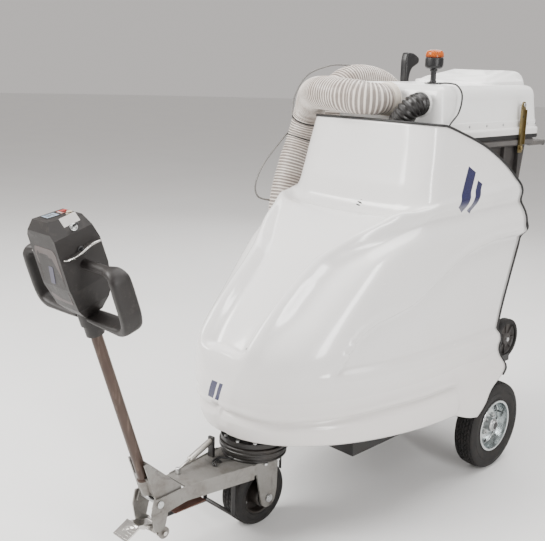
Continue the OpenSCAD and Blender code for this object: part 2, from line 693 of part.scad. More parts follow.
beacon_x = 150;
beacon_y = -311;
module beacon_post() place("#1c1c1e") translate([beacon_x, beacon_y, lid_z + lid_h]) {
  box(-30, 30, -16, 16, 0, 4);
  cylinder(h = 58, r = 8);
}
module beacon_base() place("#202124") translate([beacon_x, beacon_y, lid_z + lid_h + 58]) {
  cylinder(h = 44, r = 33);
}
module beacon_lens() place("#f08a12") translate([beacon_x, beacon_y, lid_z + lid_h + 102]) {
  cylinder(h = 20, r = 32);
  translate([0, 0, 20]) cylinder(h = 6, r = 26);
}

latch_z = lid_z + 126;
latch_y = 172;
module latch(s) {
  translate([s * (lid_w / 2 - 12), latch_y, 0]) mirror([s > 0 ? 0 : 1, 0, 0]) {
    box(13 + clear, 17, -19, 19, bin_top - 60, latch_z + 14);
    translate([0, 0, latch_z]) along_x(0, 24, 6);
    translate([0, 0, bin_top - 40]) along_x(17, 27, 9);
  }
}
module latch_left() place("#a3976d") latch(1);
module latch_right() place("#a3976d") latch(-1);

// ---- bin ----
bin_mid = -12;
module bin_section(w, l, z) { translate([0, bin_mid, z]) linear_extrude(1) round_rect(w, l, 60); }
module bin_body() place("#4a4e54") {
  difference() {
    union() {
      hull() { bin_section(bin_w - 50, 640, bin_top - 30, $fn = 32); bin_section(430, 500, deck_z + 30, $fn = 32); }
      translate([0, bin_mid, bin_top - 30]) linear_extrude(30) round_rect(bin_w, 690, 60);
      // rim bar and handle at the rear
      translate([0, 440, bin_top - 30]) along_x(-262, 262, 13);
      for (s = [-1, 1]) box(s * 250 - 12, s * 250 + 12, 300, 445, bin_top - 40, bin_top - 20);
      // feet and axle housing
      box(-180, 180, -230, -200, deck_z + clear, deck_z + 40);
      box(-210, 210, 186, 232, deck_z + 70, deck_z + 140);
    }
    difference() {
      hull() { bin_section(bin_w - 58, 632, bin_top + 1, $fn = 32); bin_section(422, 492, deck_z + 36, $fn = 32); }
      // the floor steps up over the axle
      box(-300, 300, 176, 320, deck_z, deck_z + 124);
    }
    translate([0, 209, deck_z + bin_wheel_r + clear]) along_x(-300, 300, 10);
  }
}
module bin_axle() place("#8d9196") translate([0, 209, deck_z + bin_wheel_r + clear])
  along_x(-306, 306, 10);
module bin_wheel(s) {
  translate([s * 281, 209, deck_z + bin_wheel_r + clear]) rotate([0, 90, 0]) difference() {
    rotate_extrude() {
      translate([10 + fit, -20]) square([18, 40]);
      translate([10 + fit, -5]) square([70, 10]);
      translate([76, -22]) square([bin_wheel_r - 76, 44]);
    }
  }
}
module bin_wheel_left() place("#1b1b1d") bin_wheel(1);
module bin_wheel_right() place("#1b1b1d") bin_wheel(-1);

// ---- wand and its holder, on the right ----
module wand_tube() place("#2b2d30") translate([wand_x, wand_y, 0]) difference() {
  union() {
    translate([0, 0, 640]) cylinder(h = 910, d = wand_bore + 8);
    translate([0, 0, 600]) cylinder(h = 60, d = wand_bore + 16);
  }
  translate([0, 0, 590]) cylinder(h = 1000, d = wand_bore);
}
module wand_grip() place("#1a1b1d") translate([wand_x, wand_y, 0]) {
  difference() {
    translate([0, 0, 1470]) cylinder(h = 50, d = wand_bore + 20);
    translate([0, 0, 1460]) cylinder(h = 70, d = wand_bore + 8);
  }
  drawn_x(-20, 20) polygon([[62, 1475], [88, 1490], [92, 1600], [84, 1700], [108, 1752],
    [160, 1775], [160, 1802], [118, 1822], [64, 1826], [54, 1790], [54, 1700], [64, 1630]]);
}
module wand_holder() place("#26282c") {
  difference() {
    union() {
      translate([wand_x, wand_y, 700]) cylinder(h = 24, d = wand_bore + 24);
      box(-352, -312.3, wand_y - 25, wand_y + 25, 700, 724);
      box(-322, -312.3, wand_y - 25, wand_y + 25, deck_bot - 12, 724);
      box(-322, -230, wand_y - 25, wand_y + 25, deck_bot - 12, deck_bot - clear);
    }
    translate([wand_x, wand_y, 690]) cylinder(h = 50, d = wand_bore + 8 + 0.6);
  }
}

// ---- hoses and cables ----
hose_y0 = lid_front - cuff_l - 0.5;
hose_route = [[hose_x, hose_y0, port_z], [hose_x, hose_y0 - 9, port_z],
  [hose_x, hose_y0 - 18, port_z], [17, -507, 1631], [3, -528, 1632],
  [-18, -542, 1633], [-44, -548, 1634], [-100, -553, 1636],
  [-225, -522, 1636], [-332, -450, 1618], [-406, -376, 1552], [-450, -390, 1440],
  [-466, -455, 1300], [-474, -505, 1150], [-476, -500, 1020], [-476, -430, 930],
  [-477, -320, 900], [-478, -215, 950], [-479, -170, 1080], [-480, -170, 1250],
  [-480, -205, 1400], [-479, -230, 1520], [-475, -205, 1624], [-464, -115, 1684],
  [-446, 5, 1690], [-424, 120, 1658], [wand_x, wand_y, 1590],
  [wand_x, wand_y, 1565], [wand_x, wand_y, 1550.5]];
module suction_hose() place("#c9c2b4") swept(curve(hose_route, 3), hose_d / 2, 12, [1, 0, -1]);

// an elbow in front of the lid, then down inside the shell to the fan
bend_r = 50;
fan_y0 = lid_front - 8.5;
fan_z0 = port_z - 12;
fan_bend = [for (k = [-1 : 5]) let (a = 18 * max(k, 0))
  [fan_hose_x - 0.6 * bend_r * (1 - cos(a)), fan_y0 - bend_r * sin(a) - (k < 0 ? 0 : 3),
   fan_z0 - 0.8 * bend_r * (1 - cos(a))]];
fan_route = [[fan_hose_x - 36, fan_y0 - bend_r - 3, fan_z0 - 48], [fan_hose_x - 60, fan_y0 - bend_r - 2, 1538],
  [100, -490, 1470], [85, -505, 1380], [50, -580, 1200], [8, -690, 1040],
  [0, fan_y, fan_top + 50], [0, fan_y, fan_top + 40], [0, fan_y, fan_top + 30.5]];
module fan_hose() place("#17181a")
  swept(concat(fan_bend, curve(fan_route, 3)), fan_hose_d / 2, 12, [0.8, 0.1, -0.6]);

cable_route = [[-460, -90, 1751.5], [-476, -130, 1758], [-510, -200, 1752], [-540, -310, 1710],
  [-545, -385, 1620], [-520, -425, 1540], [-492, -434, 1490], [-520, -470, 1440],
  [-556, -560, 1320], [-562, -605, 1230], [-560, -590, 1170], [-537.5, -530, 1150]];
module control_cable() place("#6b6d70") swept(curve(cable_route, 4), 3, 8, [1, 0, 0]);

lid_top = lid_z + lid_h;
beacon_route = [[beacon_x + 30.4, beacon_y, lid_top + 3.2], [224, -310, lid_top + 4.5],
  [266, -311, lid_top - 3], [291, -310, lid_top - 40], [298, -335, 1590],
  [304, -410, 1530], [306, -425, 1440], [306, -425, 1340]];
module beacon_cable() place("#161618") swept(curve(beacon_route, 4), 3, 8, [0.3, 1, 0.2]);

// ---- one line per piece ----
main_frame();
body_shell();
shell_trim();
rear_axle();
bin_deck();
battery_tray();
battery_pack();
fan_housing();
fan_motor();
fan_impeller();
lid_frame();
lid_hinge_pin();
ground_strap();
frame_bolts();
turntable_upper();
turntable_lower();
steering_bracket();
drive_axle();
front_guard();
gas_spring();
tiller_pivot_pin();
drive_tyre();
drive_hub();
tiller_foot();
tiller_tube();
head_housing();
handle_left();
handle_right();
display_panel();
key_switch();
stop_button();
horn_button();
throttle_butterfly();
foot_pedal();
rear_tyre_left();
rear_tyre_right();
rear_rim_left();
rear_rim_right();
rear_hub_left();
rear_hub_right();
lid_shell();
lid_gasket();
inlet_cuff();
fan_cuff();
beacon_post();
beacon_base();
beacon_lens();
latch_left();
latch_right();
bin_body();
bin_axle();
bin_wheel_left();
bin_wheel_right();
wand_tube();
wand_grip();
wand_holder();
suction_hose();
fan_hose();
control_cable();
beacon_cable();
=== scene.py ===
"""Looks of a walk-along litter vacuum, built over its packed frame.

Every piece is a surface worked out on a grid, in metres, in the frame's own
axes: +Z up, -Y forward, +X the machine's left.
"""

import math

import bmesh
import bpy
import numpy as np
from mathutils import Matrix


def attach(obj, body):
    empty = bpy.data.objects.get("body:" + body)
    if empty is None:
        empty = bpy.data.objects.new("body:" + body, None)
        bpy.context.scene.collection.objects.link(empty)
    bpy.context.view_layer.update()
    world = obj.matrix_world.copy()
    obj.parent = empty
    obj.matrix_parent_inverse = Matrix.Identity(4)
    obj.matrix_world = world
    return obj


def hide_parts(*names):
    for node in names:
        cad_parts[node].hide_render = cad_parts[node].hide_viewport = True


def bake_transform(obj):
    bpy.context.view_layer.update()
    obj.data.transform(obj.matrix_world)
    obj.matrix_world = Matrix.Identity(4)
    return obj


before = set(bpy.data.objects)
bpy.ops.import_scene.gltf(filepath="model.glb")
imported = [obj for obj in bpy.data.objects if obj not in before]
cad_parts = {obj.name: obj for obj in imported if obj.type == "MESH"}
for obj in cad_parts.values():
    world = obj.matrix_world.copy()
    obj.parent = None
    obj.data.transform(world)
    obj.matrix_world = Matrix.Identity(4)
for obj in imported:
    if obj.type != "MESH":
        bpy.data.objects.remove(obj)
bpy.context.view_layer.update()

bl_info = {
    "name": "Litter Vacuum Looks",
    "version": (1, 0, 0),
    "blender": (4, 5, 0),
    "location": "View3D > Sidebar > Litter Vacuum",
    "description": "Surfaces and finishes of a walk-along litter vacuum",
    "category": "Object",
}

AY = 0.775  # place of the rear axle along Y
TAU = 2 * math.pi
HEAD = {}  # finishes, made once and shared by name


# ---------------------------------------------------------------- shader maths
class Sock:
    """A shader socket. The usual operators on it add Math nodes."""

    def __init__(self, finish, socket):
        self.finish, self.socket = finish, socket

    def math(self, operation, *values):
        return self.finish.node("ShaderNodeMath", {"operation": operation}, dict(enumerate(values)))

    def __add__(self, other):
        return self.math("ADD", self, other)

    def __sub__(self, other):
        return self.math("SUBTRACT", self, other)

    def __rsub__(self, other):
        return self.math("SUBTRACT", other, self)

    def __mul__(self, other):
        return self.math("MULTIPLY", self, other)

    def __truediv__(self, other):
        return self.math("DIVIDE", self, other)

    __radd__, __rmul__ = __add__, __mul__

    def apply(self, operation, *more):
        """Any one Math operation by its name, such as ABSOLUTE or FRACT."""
        return self.math(operation, self, *more)


class Finish:
    """One material: a Principled shader, and the nodes that vary it."""

    def __init__(self, name, **constants):
        self.material = bpy.data.materials.new(name)
        self.material.use_nodes = True
        self.nodes = self.material.node_tree.nodes
        self.links = self.material.node_tree.links
        self.nodes.clear()
        self.shader = self.nodes.new("ShaderNodeBsdfPrincipled")
        out = self.nodes.new("ShaderNodeOutputMaterial")
        self.links.new(self.shader.outputs[0], out.inputs[0])
        self.at = self.node("ShaderNodeTexCoord", {}, {}, "Object")
        for key, value in constants.items():
            self.set(key.replace("_", " "), value)

    def node(self, kind, settings, values, out=0):
        """Adds a node: its settings first, then the values or links of its inputs."""
        n = self.nodes.new(kind)
        for key, value in settings.items():
            if key == "stops":
                for k, (place, colour) in enumerate(value):
                    e = n.color_ramp.elements[k] if k < 2 else n.color_ramp.elements.new(place)
                    e.position, e.color = place, colour
            else:
                setattr(n, key, value)
        for key, value in values.items():
            if isinstance(value, Sock):
                self.links.new(value.socket, n.inputs[key])
            else:
                n.inputs[key].default_value = value
        return Sock(self, n.outputs[out])

    def set(self, name, value):
        if isinstance(value, Sock):
            self.links.new(value.socket, self.shader.inputs[name])
        else:
            if isinstance(value, tuple) and len(value) == 3:
                value = value + (1.0,)
            self.shader.inputs[name].default_value = value

    def noise(self, scale, detail=3.0, rough=0.5, at=None, warp=0.0):
        """Fractal noise, about 0.5 on average, with scale features a metre."""
        return self.node("ShaderNodeTexNoise", {}, {"Vector": at or self.at, "Scale": scale,
                         "Detail": detail, "Roughness": rough, "Distortion": warp})

    def cells(self, scale, at=None, feature="F1", out="Distance"):
        return self.node("ShaderNodeTexVoronoi", {"feature": feature},
                         {"Vector": at or self.at, "Scale": scale}, out)

    def scaled(self, x, y, z, at=None):
        """The coordinates multiplied axis by axis."""
        return self.node("ShaderNodeVectorMath", {"operation": "MULTIPLY"},
                         {0: at or self.at, 1: (x, y, z)})

    def parts(self, at=None):
        n = self.node("ShaderNodeSeparateXYZ", {}, {0: at or self.at})
        return [Sock(self, n.socket.node.outputs[k]) for k in range(3)]

    def uv(self):
        return self.parts(self.node("ShaderNodeUVMap", {"uv_map": "UVMap"}, {}))

    def step(self, x, low, high):
        """0 below low, 1 above high, and a smooth rise between."""
        return self.node("ShaderNodeMapRange", {"interpolation_type": "SMOOTHSTEP"},
                         {0: x, 1: low, 2: high, 3: 0.0, 4: 1.0})

    def mix(self, factor, a, b):
        """Colour a where factor is 0 and colour b where it is 1."""
        fix = lambda c: c if isinstance(c, Sock) else tuple(c)[:3] + (1.0,)
        return self.node("ShaderNodeMix", {"data_type": "RGBA"}, {0: factor, 6: fix(a), 7: fix(b)}, 2)

    def bump(self, height, distance, strength=1.0, under=None):
        values = {"Strength": strength, "Distance": distance, "Height": height}
        if under:
            values["Normal"] = under
        return self.node("ShaderNodeBump", {}, values)


def speckled(name, base, rough, grain=900.0, grain_depth=0.0002, dirt=0.3,
             dust=(0.30, 0.27, 0.23), low=0.0, high=0.0, **constants):
    """A finish with a fine grain, cloudy roughness and thin dust in patches.
    Where high is over low, the dust thickens downwards between those heights."""
    f = Finish(name, **constants)
    cloud = f.noise(9.0, 5.0, 0.6)
    fine = f.noise(grain, 3.0, 0.6)
    speck = f.step(f.noise(70.0, 4.0, 0.75), 0.56, 0.72)
    film = f.step(cloud, 0.42, 0.74) * dirt
    if high > low:
        film = film + (1.0 - f.step(f.parts()[2], low, high)) * (0.25 + cloud * 0.5) * dirt * 2.0
    shade = f.mix(cloud, tuple(c * 0.86 for c in base), tuple(min(c * 1.12, 1.0) for c in base))
    f.set("Base Color", f.mix(film.apply("MINIMUM", 0.85), f.mix(speck * 0.25 * dirt, shade, dust), dust))
    f.set("Roughness", rough + (cloud - 0.5) * 0.24 + film * 0.3)
    f.set("Normal", f.bump(fine, grain_depth, 0.6, f.bump(cloud, 0.0015, 0.25)))
    return f.material


def white_shell():
    """Gloss gel coat: faint ripple, hairline scuffs, a warm film near the ground,
    and two plain dark blue bars on each flank and on the nose."""
    s = bpy.context.scene.shell_sizes
    base = tuple(s.colour)
    f = Finish("white_gel_coat", Coat_Roughness=0.06, IOR=1.5)
    x, y, z = f.parts()
    cloud = f.noise(3.0, 4.0, 0.55)
    # painted shade: 1 on the lower flanks, fading out between 0.36 m and 0.86 m up, so the shell is darker and
    # warmer towards the ground as if less lit
    low = 1.0 - f.step(z + (cloud - 0.5) * 0.3, 0.36, 0.86)
    fleck = f.step(f.noise(240.0, 2.0, 0.7), 0.70, 0.78)
    scuff = f.step(f.noise(34.0, 5.0, 0.7, f.scaled(1.0, 0.25, 2.2), 0.6), 0.64, 0.70)
    # film here is mostly that painted shade low down, with flecks of dirt in it, plus faint real scuffs
    film = low * (0.16 + 0.2 * cloud) + scuff * 0.05 + fleck * low * 0.22
    tone = f.mix(cloud, tuple(c * 0.965 for c in base), base)
    # mixes in a beige painted shade where film is strong
    tone = f.mix(film, tone, (0.52, 0.44, 0.38))
    # the blue bars: bands across a slanted axis, cut off at both ends
    run = (y - (AY - 0.295)) * 0.50 + (z - 1.275) * 0.866
    across = (y - (AY - 0.295)) * 0.866 - (z - 1.275) * 0.50
    side = f.step(x.apply("ABSOLUTE"), 0.27, 0.275)
    mark = None
    for centre, half, length in ((-0.034, 0.027, 0.088), (0.036, 0.016, 0.066)):
        bar = (1.0 - f.step((across - centre).apply("ABSOLUTE"), half, half + 0.0015)) * \
            (1.0 - f.step(run.apply("ABSOLUTE"), length, length + 0.0015)) * side
        mark = bar if mark is None else mark.apply("MAXIMUM", bar)
    nose = (1.0 - f.step((y - (AY - 1.30)).apply("ABSOLUTE"), 0.05, 0.052))
    for centre, half in ((-0.014, 0.014), (0.018, 0.008)):
        slant = x * 0.9 - (z - 0.600) * 0.3
        bar = (1.0 - f.step((slant - centre).apply("ABSOLUTE"), half, half + 0.001)) * \
            (1.0 - f.step((z - 0.600).apply("ABSOLUTE"), 0.034, 0.035)) * nose
        mark = mark.apply("MAXIMUM", bar)
    f.set("Base Color", f.mix(mark, tone, (0.004, 0.005, 0.055)))
    f.set("Roughness", s.roughness + film * 0.5 + scuff * 0.10 + (cloud - 0.5) * 0.05)
    f.set("Coat Weight", 0.6 - film * 1.2)
    ripple = f.noise(7.0, 2.0, 0.4)
    peel = f.noise(420.0, 2.0, 0.5)
    f.set("Normal", f.bump(peel, 0.00008, 0.5, f.bump(ripple, 0.004, 0.22)))
    return f.material


def white_lid():
    """The lid's gloss moulding: whiter, with water marks and dust on top."""
    f = Finish("white_moulding", IOR=1.5, Coat_Roughness=0.1)
    _, _, z = f.parts()
    cloud = f.noise(5.0, 5.0, 0.6)
    fleck = f.step(f.noise(260.0, 2.0, 0.7), 0.70, 0.80)
    streak = f.step(f.noise(20.0, 4.0, 0.6, f.scaled(1.0, 1.0, 0.15)), 0.58, 0.74)
    # darker and browner over the lowest part of the wall, fading out by 1.56 m up
    rim = 1.0 - f.step(z, 1.49, 1.56)
    # film here is the water marks and flecks plus that darker low band
    film = streak * 0.10 + fleck * 0.08 + rim * (0.10 + 0.2 * cloud)
    f.set("Base Color", f.mix(film, f.mix(cloud, (0.80, 0.80, 0.79), (0.84, 0.84, 0.83)), (0.45, 0.41, 0.35)))
    f.set("Roughness", 0.30 + film * 0.6 + (cloud - 0.5) * 0.1)
    f.set("Coat Weight", 0.35 - film)
    f.set("Normal", f.bump(f.noise(500.0, 2.0, 0.5), 0.0001, 0.5, f.bump(cloud, 0.003, 0.25)))
    return f.material


def galvanised():
    """Hot-dip zinc: crystals of differing tone and lie, dulled and streaked."""
    f = Finish("galvanised_steel", Metallic=0.75)
    spangle = f.cells(85.0, f.node("ShaderNodeVectorMath", {"operation": "ADD"},
                      {0: f.at, 1: f.node("ShaderNodeTexNoise", {}, {"Vector": f.at, "Scale": 60.0}, 1)}),
                      "F1", "Color")
    tone = f.parts(spangle)[0]
    cloud = f.noise(14.0, 6.0, 0.7)
    grease = f.step(f.noise(8.0, 5.0, 0.7, None, 1.0), 0.55, 0.70)
    # spangle tones set dark as painted shade for the bracket and tiller foot, which sit in shadow under the nose
    base = f.mix(tone, (0.17, 0.162, 0.150), (0.33, 0.322, 0.305))
    # brown patches: partly stains, partly more of that painted shade
    base = f.mix(f.step(cloud, 0.45, 0.75) * 0.55, base, (0.12, 0.098, 0.080))
    f.set("Base Color", f.mix(grease * 0.7, base, (0.07, 0.06, 0.055)))
    f.set("Roughness", 0.34 + tone * 0.18 + cloud * 0.16 - grease * 0.12)
    f.set("Normal", f.bump(tone, 0.0002, 0.35, f.bump(f.noise(220.0, 4.0, 0.7), 0.0006, 0.5)))
    return f.material


def metal(name, base, rough, line=(1.0, 1.0, 1.0), stain=0.35, grit=0.0004):
    """Plain bare metal with fine lines along one axis and brown-grey stains."""
    f = Finish(name, Metallic=1.0)
    line_noise = f.noise(260.0, 4.0, 0.65, f.scaled(*line))
    cloud = f.noise(22.0, 5.0, 0.65)
    soil = f.step(cloud, 0.50, 0.78) * stain
    f.set("Base Color", f.mix(soil, f.mix(line_noise, tuple(c * 0.85 for c in base), base), (0.16, 0.13, 0.11)))
    f.set("Metallic", 1.0 - soil * 0.5)
    f.set("Roughness", rough + (line_noise - 0.5) * 0.25 + soil * 0.35)
    f.set("Normal", f.bump(line_noise, grit, 0.3))
    return f.material


def tiller_lacquer():
    """Dark brown lacquer over steel, rubbed through to grey in long streaks."""
    f = Finish("tiller_lacquer")
    streak = f.noise(60.0, 5.0, 0.6, f.scaled(1.0, 1.0, 0.06))
    rub = f.step(streak, 0.54, 0.68)
    cloud = f.noise(12.0, 4.0, 0.6)
    f.set("Base Color", f.mix(rub * 0.7, f.mix(cloud, (0.040, 0.024, 0.018), (0.085, 0.055, 0.042)), (0.15,
        0.115, 0.095)))
    f.set("Metallic", 0.35 + rub * 0.5)
    f.set("Roughness", 0.34 + cloud * 0.2)
    f.set("Normal", f.bump(streak, 0.0004, 0.4))
    return f.material


def tyre_rubber():
    """Black rubber greyed by dust, more so on the tread, with fine cracking."""
    f = Finish("tyre_rubber")
    cloud = f.noise(26.0, 6.0, 0.7)
    crack = f.cells(160.0, None, "DISTANCE_TO_EDGE")
    dust = f.step(cloud, 0.40, 0.72)
    f.set("Base Color", f.mix(dust * 0.45, (0.0045, 0.004, 0.004), (0.032, 0.026, 0.022)))
    f.set("Roughness", 0.66 + cloud * 0.22)
    f.set("Normal", f.bump(f.step(crack, 0.0, 0.06), 0.0003, 0.3, f.bump(f.noise(700.0, 3.0, 0.6), 0.0004, 0.5)))
    return f.material


def head_plastic():
    """Moulded dark plastic with a leather-like grain, polished on high spots."""
    f = Finish("head_plastic")
    grain = f.cells(520.0, None, "SMOOTH_F1")
    cloud = f.noise(18.0, 5.0, 0.6)
    worn = f.step(f.noise(30.0, 4.0, 0.7), 0.52, 0.70)
    f.set("Base Color", f.mix(worn * 0.45, f.mix(cloud, (0.0065, 0.0050, 0.0045), (0.013, 0.010, 0.009)),
        (0.032, 0.026, 0.023)))
    f.set("Roughness", 0.42 + cloud * 0.22 - worn * 0.06)
    f.set("Normal", f.bump(grain, 0.00045, 0.55, f.bump(f.noise(40.0, 3.0, 0.5), 0.001, 0.2)))
    return f.material


def clear_hose():
    """Cloudy film between the turns of a wire. The wire's cover is paler, and
    both are warmer and dustier low down. U counts turns and V goes round."""
    f = Finish("clear_hose", IOR=1.45)
    u, v, _ = f.uv()
    turn = (u - v).apply("FRACT")
    wire = 1.0 - f.step((turn - 0.5).apply("ABSOLUTE"), 0.13, 0.25)
    cloud = f.noise(11.0, 5.0, 0.65)
    stain = f.step(cloud, 0.40, 0.75)
    film = f.mix(stain, (0.30, 0.262, 0.235), (0.19, 0.158, 0.138))
    f.set("Base Color", f.mix(wire, film, f.mix(stain, (0.72, 0.665, 0.61), (0.50, 0.425, 0.37))))
    f.set("Alpha", 0.66 + wire * 0.32 + stain * 0.12)
    f.set("Roughness", 0.24 + stain * 0.25)
    f.set("Normal", f.bump(f.noise(240.0, 3.0, 0.6), 0.0005, 0.3))
    return f.material


def ribbed_hose():
    """Black corrugated hose: shiny on the ribs and dull between. U counts ribs."""
    f = Finish("ribbed_hose")
    u, _, _ = f.uv()
    crest = f.step((u.apply("FRACT") - 0.5).apply("ABSOLUTE"), 0.22, 0.42)
    cloud = f.noise(30.0, 5.0, 0.6)
    f.set("Base Color", f.mix(cloud * 0.5 + (1.0 - crest) * 0.25, (0.0035, 0.0033, 0.0035), (0.018, 0.016, 0.015)))
    f.set("Roughness", 0.22 + crest * 0.28 + cloud * 0.14)
    f.set("Normal", f.bump(f.noise(300.0, 3.0, 0.6), 0.0004, 0.4))
    return f.material


def amber():
    """Clear amber cap with moulded prisms and a dark ring inside its base."""
    f = Finish("amber_cap", Transmission_Weight=0.35, IOR=1.49)
    _, _, z = f.parts()
    cloud = f.noise(60.0, 3.0, 0.5)
    base = f.mix(f.step(z, 1.797, 1.806), (0.16, 0.028, 0.004), f.mix(cloud, (0.46, 0.085, 0.004), (0.66, 0.15,
        0.010)))
    f.set("Base Color", base)
    f.set("Emission Color", base)
    f.set("Emission Strength", 0.05)
    f.set("Roughness", 0.14 + cloud * 0.12)
    f.set("Normal", f.bump(f.noise(180.0, 2.0, 0.5), 0.0006, 0.4))
    return f.material


def display_glass():
    """A dim blue-grey screen: a plain lighter window with soft cells in it."""
    f = Finish("display_glass", Coat_Weight=0.6, Coat_Roughness=0.05)
    cloud = f.noise(120.0, 3.0, 0.6)
    f.set("Base Color", f.mix(cloud, (0.20, 0.27, 0.36), (0.36, 0.45, 0.56)))
    f.set("Roughness", 0.18 + cloud * 0.2)
    f.set("Normal", f.bump(cloud, 0.0002, 0.2))
    return f.material


def floor_paint():
    """Pale matt studio floor with barely visible mottling."""
    f = Finish("studio_floor")
    cloud = f.noise(1.3, 5.0, 0.6)
    f.set("Base Color", f.mix(cloud, (0.80, 0.80, 0.795), (0.86, 0.86, 0.855)))
    f.set("Roughness", 0.7 + cloud * 0.2)
    f.set("Normal", f.bump(f.noise(90.0, 3.0, 0.5), 0.0004, 0.2))
    return f.material


FINISHES = {
    "shell": white_shell,
    "lid": white_lid,
    "galvanised": galvanised,
    "tiller": tiller_lacquer,
    "tyre": tyre_rubber,
    "head": head_plastic,
    "clear_hose": clear_hose,
    "ribbed_hose": ribbed_hose,
    "amber": amber,
    "display": display_glass,
    "floor": floor_paint,
    "zinc": lambda: metal("zinc_plate", (0.56, 0.57, 0.57), 0.34, stain=0.4),
    "rim": lambda: metal("rim_zinc", (0.60, 0.64, 0.645), 0.22, stain=0.30),
    "bright": lambda: metal("bright_steel", (0.58, 0.565, 0.54), 0.20, (1.0, 0.12, 1.0), 0.2),
    "pale_rod": lambda: metal("pale_rod", (0.62, 0.60, 0.56), 0.36, (1.0, 0.1, 1.0), 0.15),
    "brass": lambda: metal("passivated_brass", (0.26, 0.205, 0.095), 0.42, (1.0, 1.0, 0.15), 0.5),
    "alloy": lambda: metal("cast_alloy", (0.40, 0.41, 0.42), 0.48, stain=0.3, grit=0.0012),
    "frame": lambda: speckled("black_powder_coat", (0.008, 0.0075, 0.0075), 0.45, 700.0, 0.0005, 0.3, (0.06,
        0.05, 0.042)),
    "casting": lambda: speckled("oiled_casting", (0.010, 0.0085, 0.0075), 0.38, 300.0, 0.0016, 0.4, (0.045,
        0.034, 0.026)),
    # a dark red-brown, used only for the plate under the tiller
    "plate_red_brown": lambda: speckled("red_brown_coat", (0.085, 0.030, 0.018), 0.55, 400.0, 0.0010, 0.4, (0.10, 0.07,
        0.055)),
    "rubber": lambda: speckled("black_rubber", (0.0045, 0.0045, 0.005), 0.5, 900.0, 0.0003, 0.25, (0.05, 0.045,
        0.04)),
    "bin": lambda: speckled("bin_plastic", (0.030, 0.027, 0.026), 0.50, 650.0, 0.0006, 0.3, (0.085, 0.075, 0.066)),
    "bin_rim": lambda: speckled("bin_rim_plastic", (0.085, 0.080, 0.077), 0.48, 650.0, 0.0006, 0.35, (0.17,
        0.155, 0.14)),
    "cream": lambda: speckled("cream_moulding", (0.72, 0.67, 0.60), 0.36, 700.0, 0.0003, 0.3, (0.42, 0.36, 0.30)),
    "white_ring": lambda: speckled("white_ring", (0.70, 0.70, 0.69), 0.32, 700.0, 0.0003, 0.2, (0.42, 0.38, 0.33)),
    "wand": lambda: speckled("wand_plastic", (0.0075, 0.0075, 0.0085), 0.40, 600.0, 0.0005, 0.25, (0.05, 0.045,
        0.04)),
    "panel": lambda: speckled("brown_panel", (0.026, 0.0085, 0.0065), 0.34, 500.0, 0.0002, 0.25, (0.05, 0.03,
        0.025)),
    "label": lambda: speckled("plain_label", (0.60, 0.58, 0.56), 0.45, 400.0, 0.0001, 0.25, (0.36, 0.32, 0.30)),
    "red": lambda: speckled("red_moulding", (0.40, 0.010, 0.006), 0.30, 500.0, 0.0002, 0.15),
    "red_pale": lambda: speckled("pale_surround", (0.52, 0.36, 0.34), 0.36, 500.0, 0.0002, 0.2),
    "beige": lambda: speckled("beige_moulding", (0.46, 0.40, 0.31), 0.36, 500.0, 0.0002, 0.25),
    "battery": lambda: speckled("battery_case", (0.040, 0.043, 0.048), 0.45, 500.0, 0.0005, 0.3),
    "enamel": lambda: speckled("grey_enamel", (0.13, 0.135, 0.14), 0.35, 300.0, 0.0004, 0.3),
    "cable": lambda: speckled("grey_cable", (0.15, 0.145, 0.14), 0.42, 900.0, 0.0002, 0.3, (0.28, 0.25, 0.22)),
    "blue": lambda: speckled("blue_mark", (0.015, 0.012, 0.05), 0.35, 500.0, 0.0001, 0.1),
}


def finish(name):
    """The shared material of that name, made when it is first asked for."""
    if name not in HEAD:
        HEAD[name] = FINISHES[name]()
    return HEAD[name]


# ---------------------------------------------------------------- mesh makers
def piece(name, verts, faces, body, look, slot, node=None, uv=None, angle=35.0, outward=True):
    """Puts points and faces into a mesh that rides on a body. The faces are turned
    outwards by the sign of the volume that they close."""
    verts = np.asarray(verts, float)
    mesh = bpy.data.meshes.new(name)
    mesh.from_pydata(verts.tolist(), [], [list(map(int, f)) for f in faces])
    if outward:
        mesh.calc_loop_triangles()
        tri = np.empty(len(mesh.loop_triangles) * 3, int)
        mesh.loop_triangles.foreach_get("vertices", tri)
        a, b, c = (verts[tri[k::3]] - verts.mean(0) for k in range(3))
        if np.einsum("ij,ij->i", a, np.cross(b, c)).sum() < 0:
            mesh.flip_normals()
            if uv is not None:
                uv = None if len(uv) == 0 else uv
                mesh = bpy.data.meshes.new(name)
                mesh.from_pydata(verts.tolist(), [], [list(map(int, f))[::-1] for f in faces])
                uv = [u[::-1] for u in uv]
    if uv is not None:
        layer = mesh.uv_layers.new(name="UVMap")
        layer.data.foreach_set("uv", np.concatenate([np.asarray(u, float).ravel() for u in uv]))
    mesh.polygons.foreach_set("use_smooth", np.ones(len(mesh.polygons), bool))
    mesh.set_sharp_from_angle(angle=math.radians(angle))
    mesh.materials.append(finish(look))
    obj = bpy.data.objects.new(name, mesh)
    bpy.context.scene.collection.objects.link(obj)
    if body:
        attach(obj, body)
    if node:
        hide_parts(*([node] if isinstance(node, str) else node))
    return obj


def cells_of(n, m, wrap=True):
    """Quads of a grid of n rows of m points, closed round each row when wrap."""
    i, j = np.meshgrid(np.arange(n - 1), np.arange(m if wrap else m - 1), indexing="ij")
    k = (j + 1) % m
    return np.stack([i * m + j, (i + 1) * m + j, (i + 1) * m + k, i * m + k], -1).reshape(-1, 4)


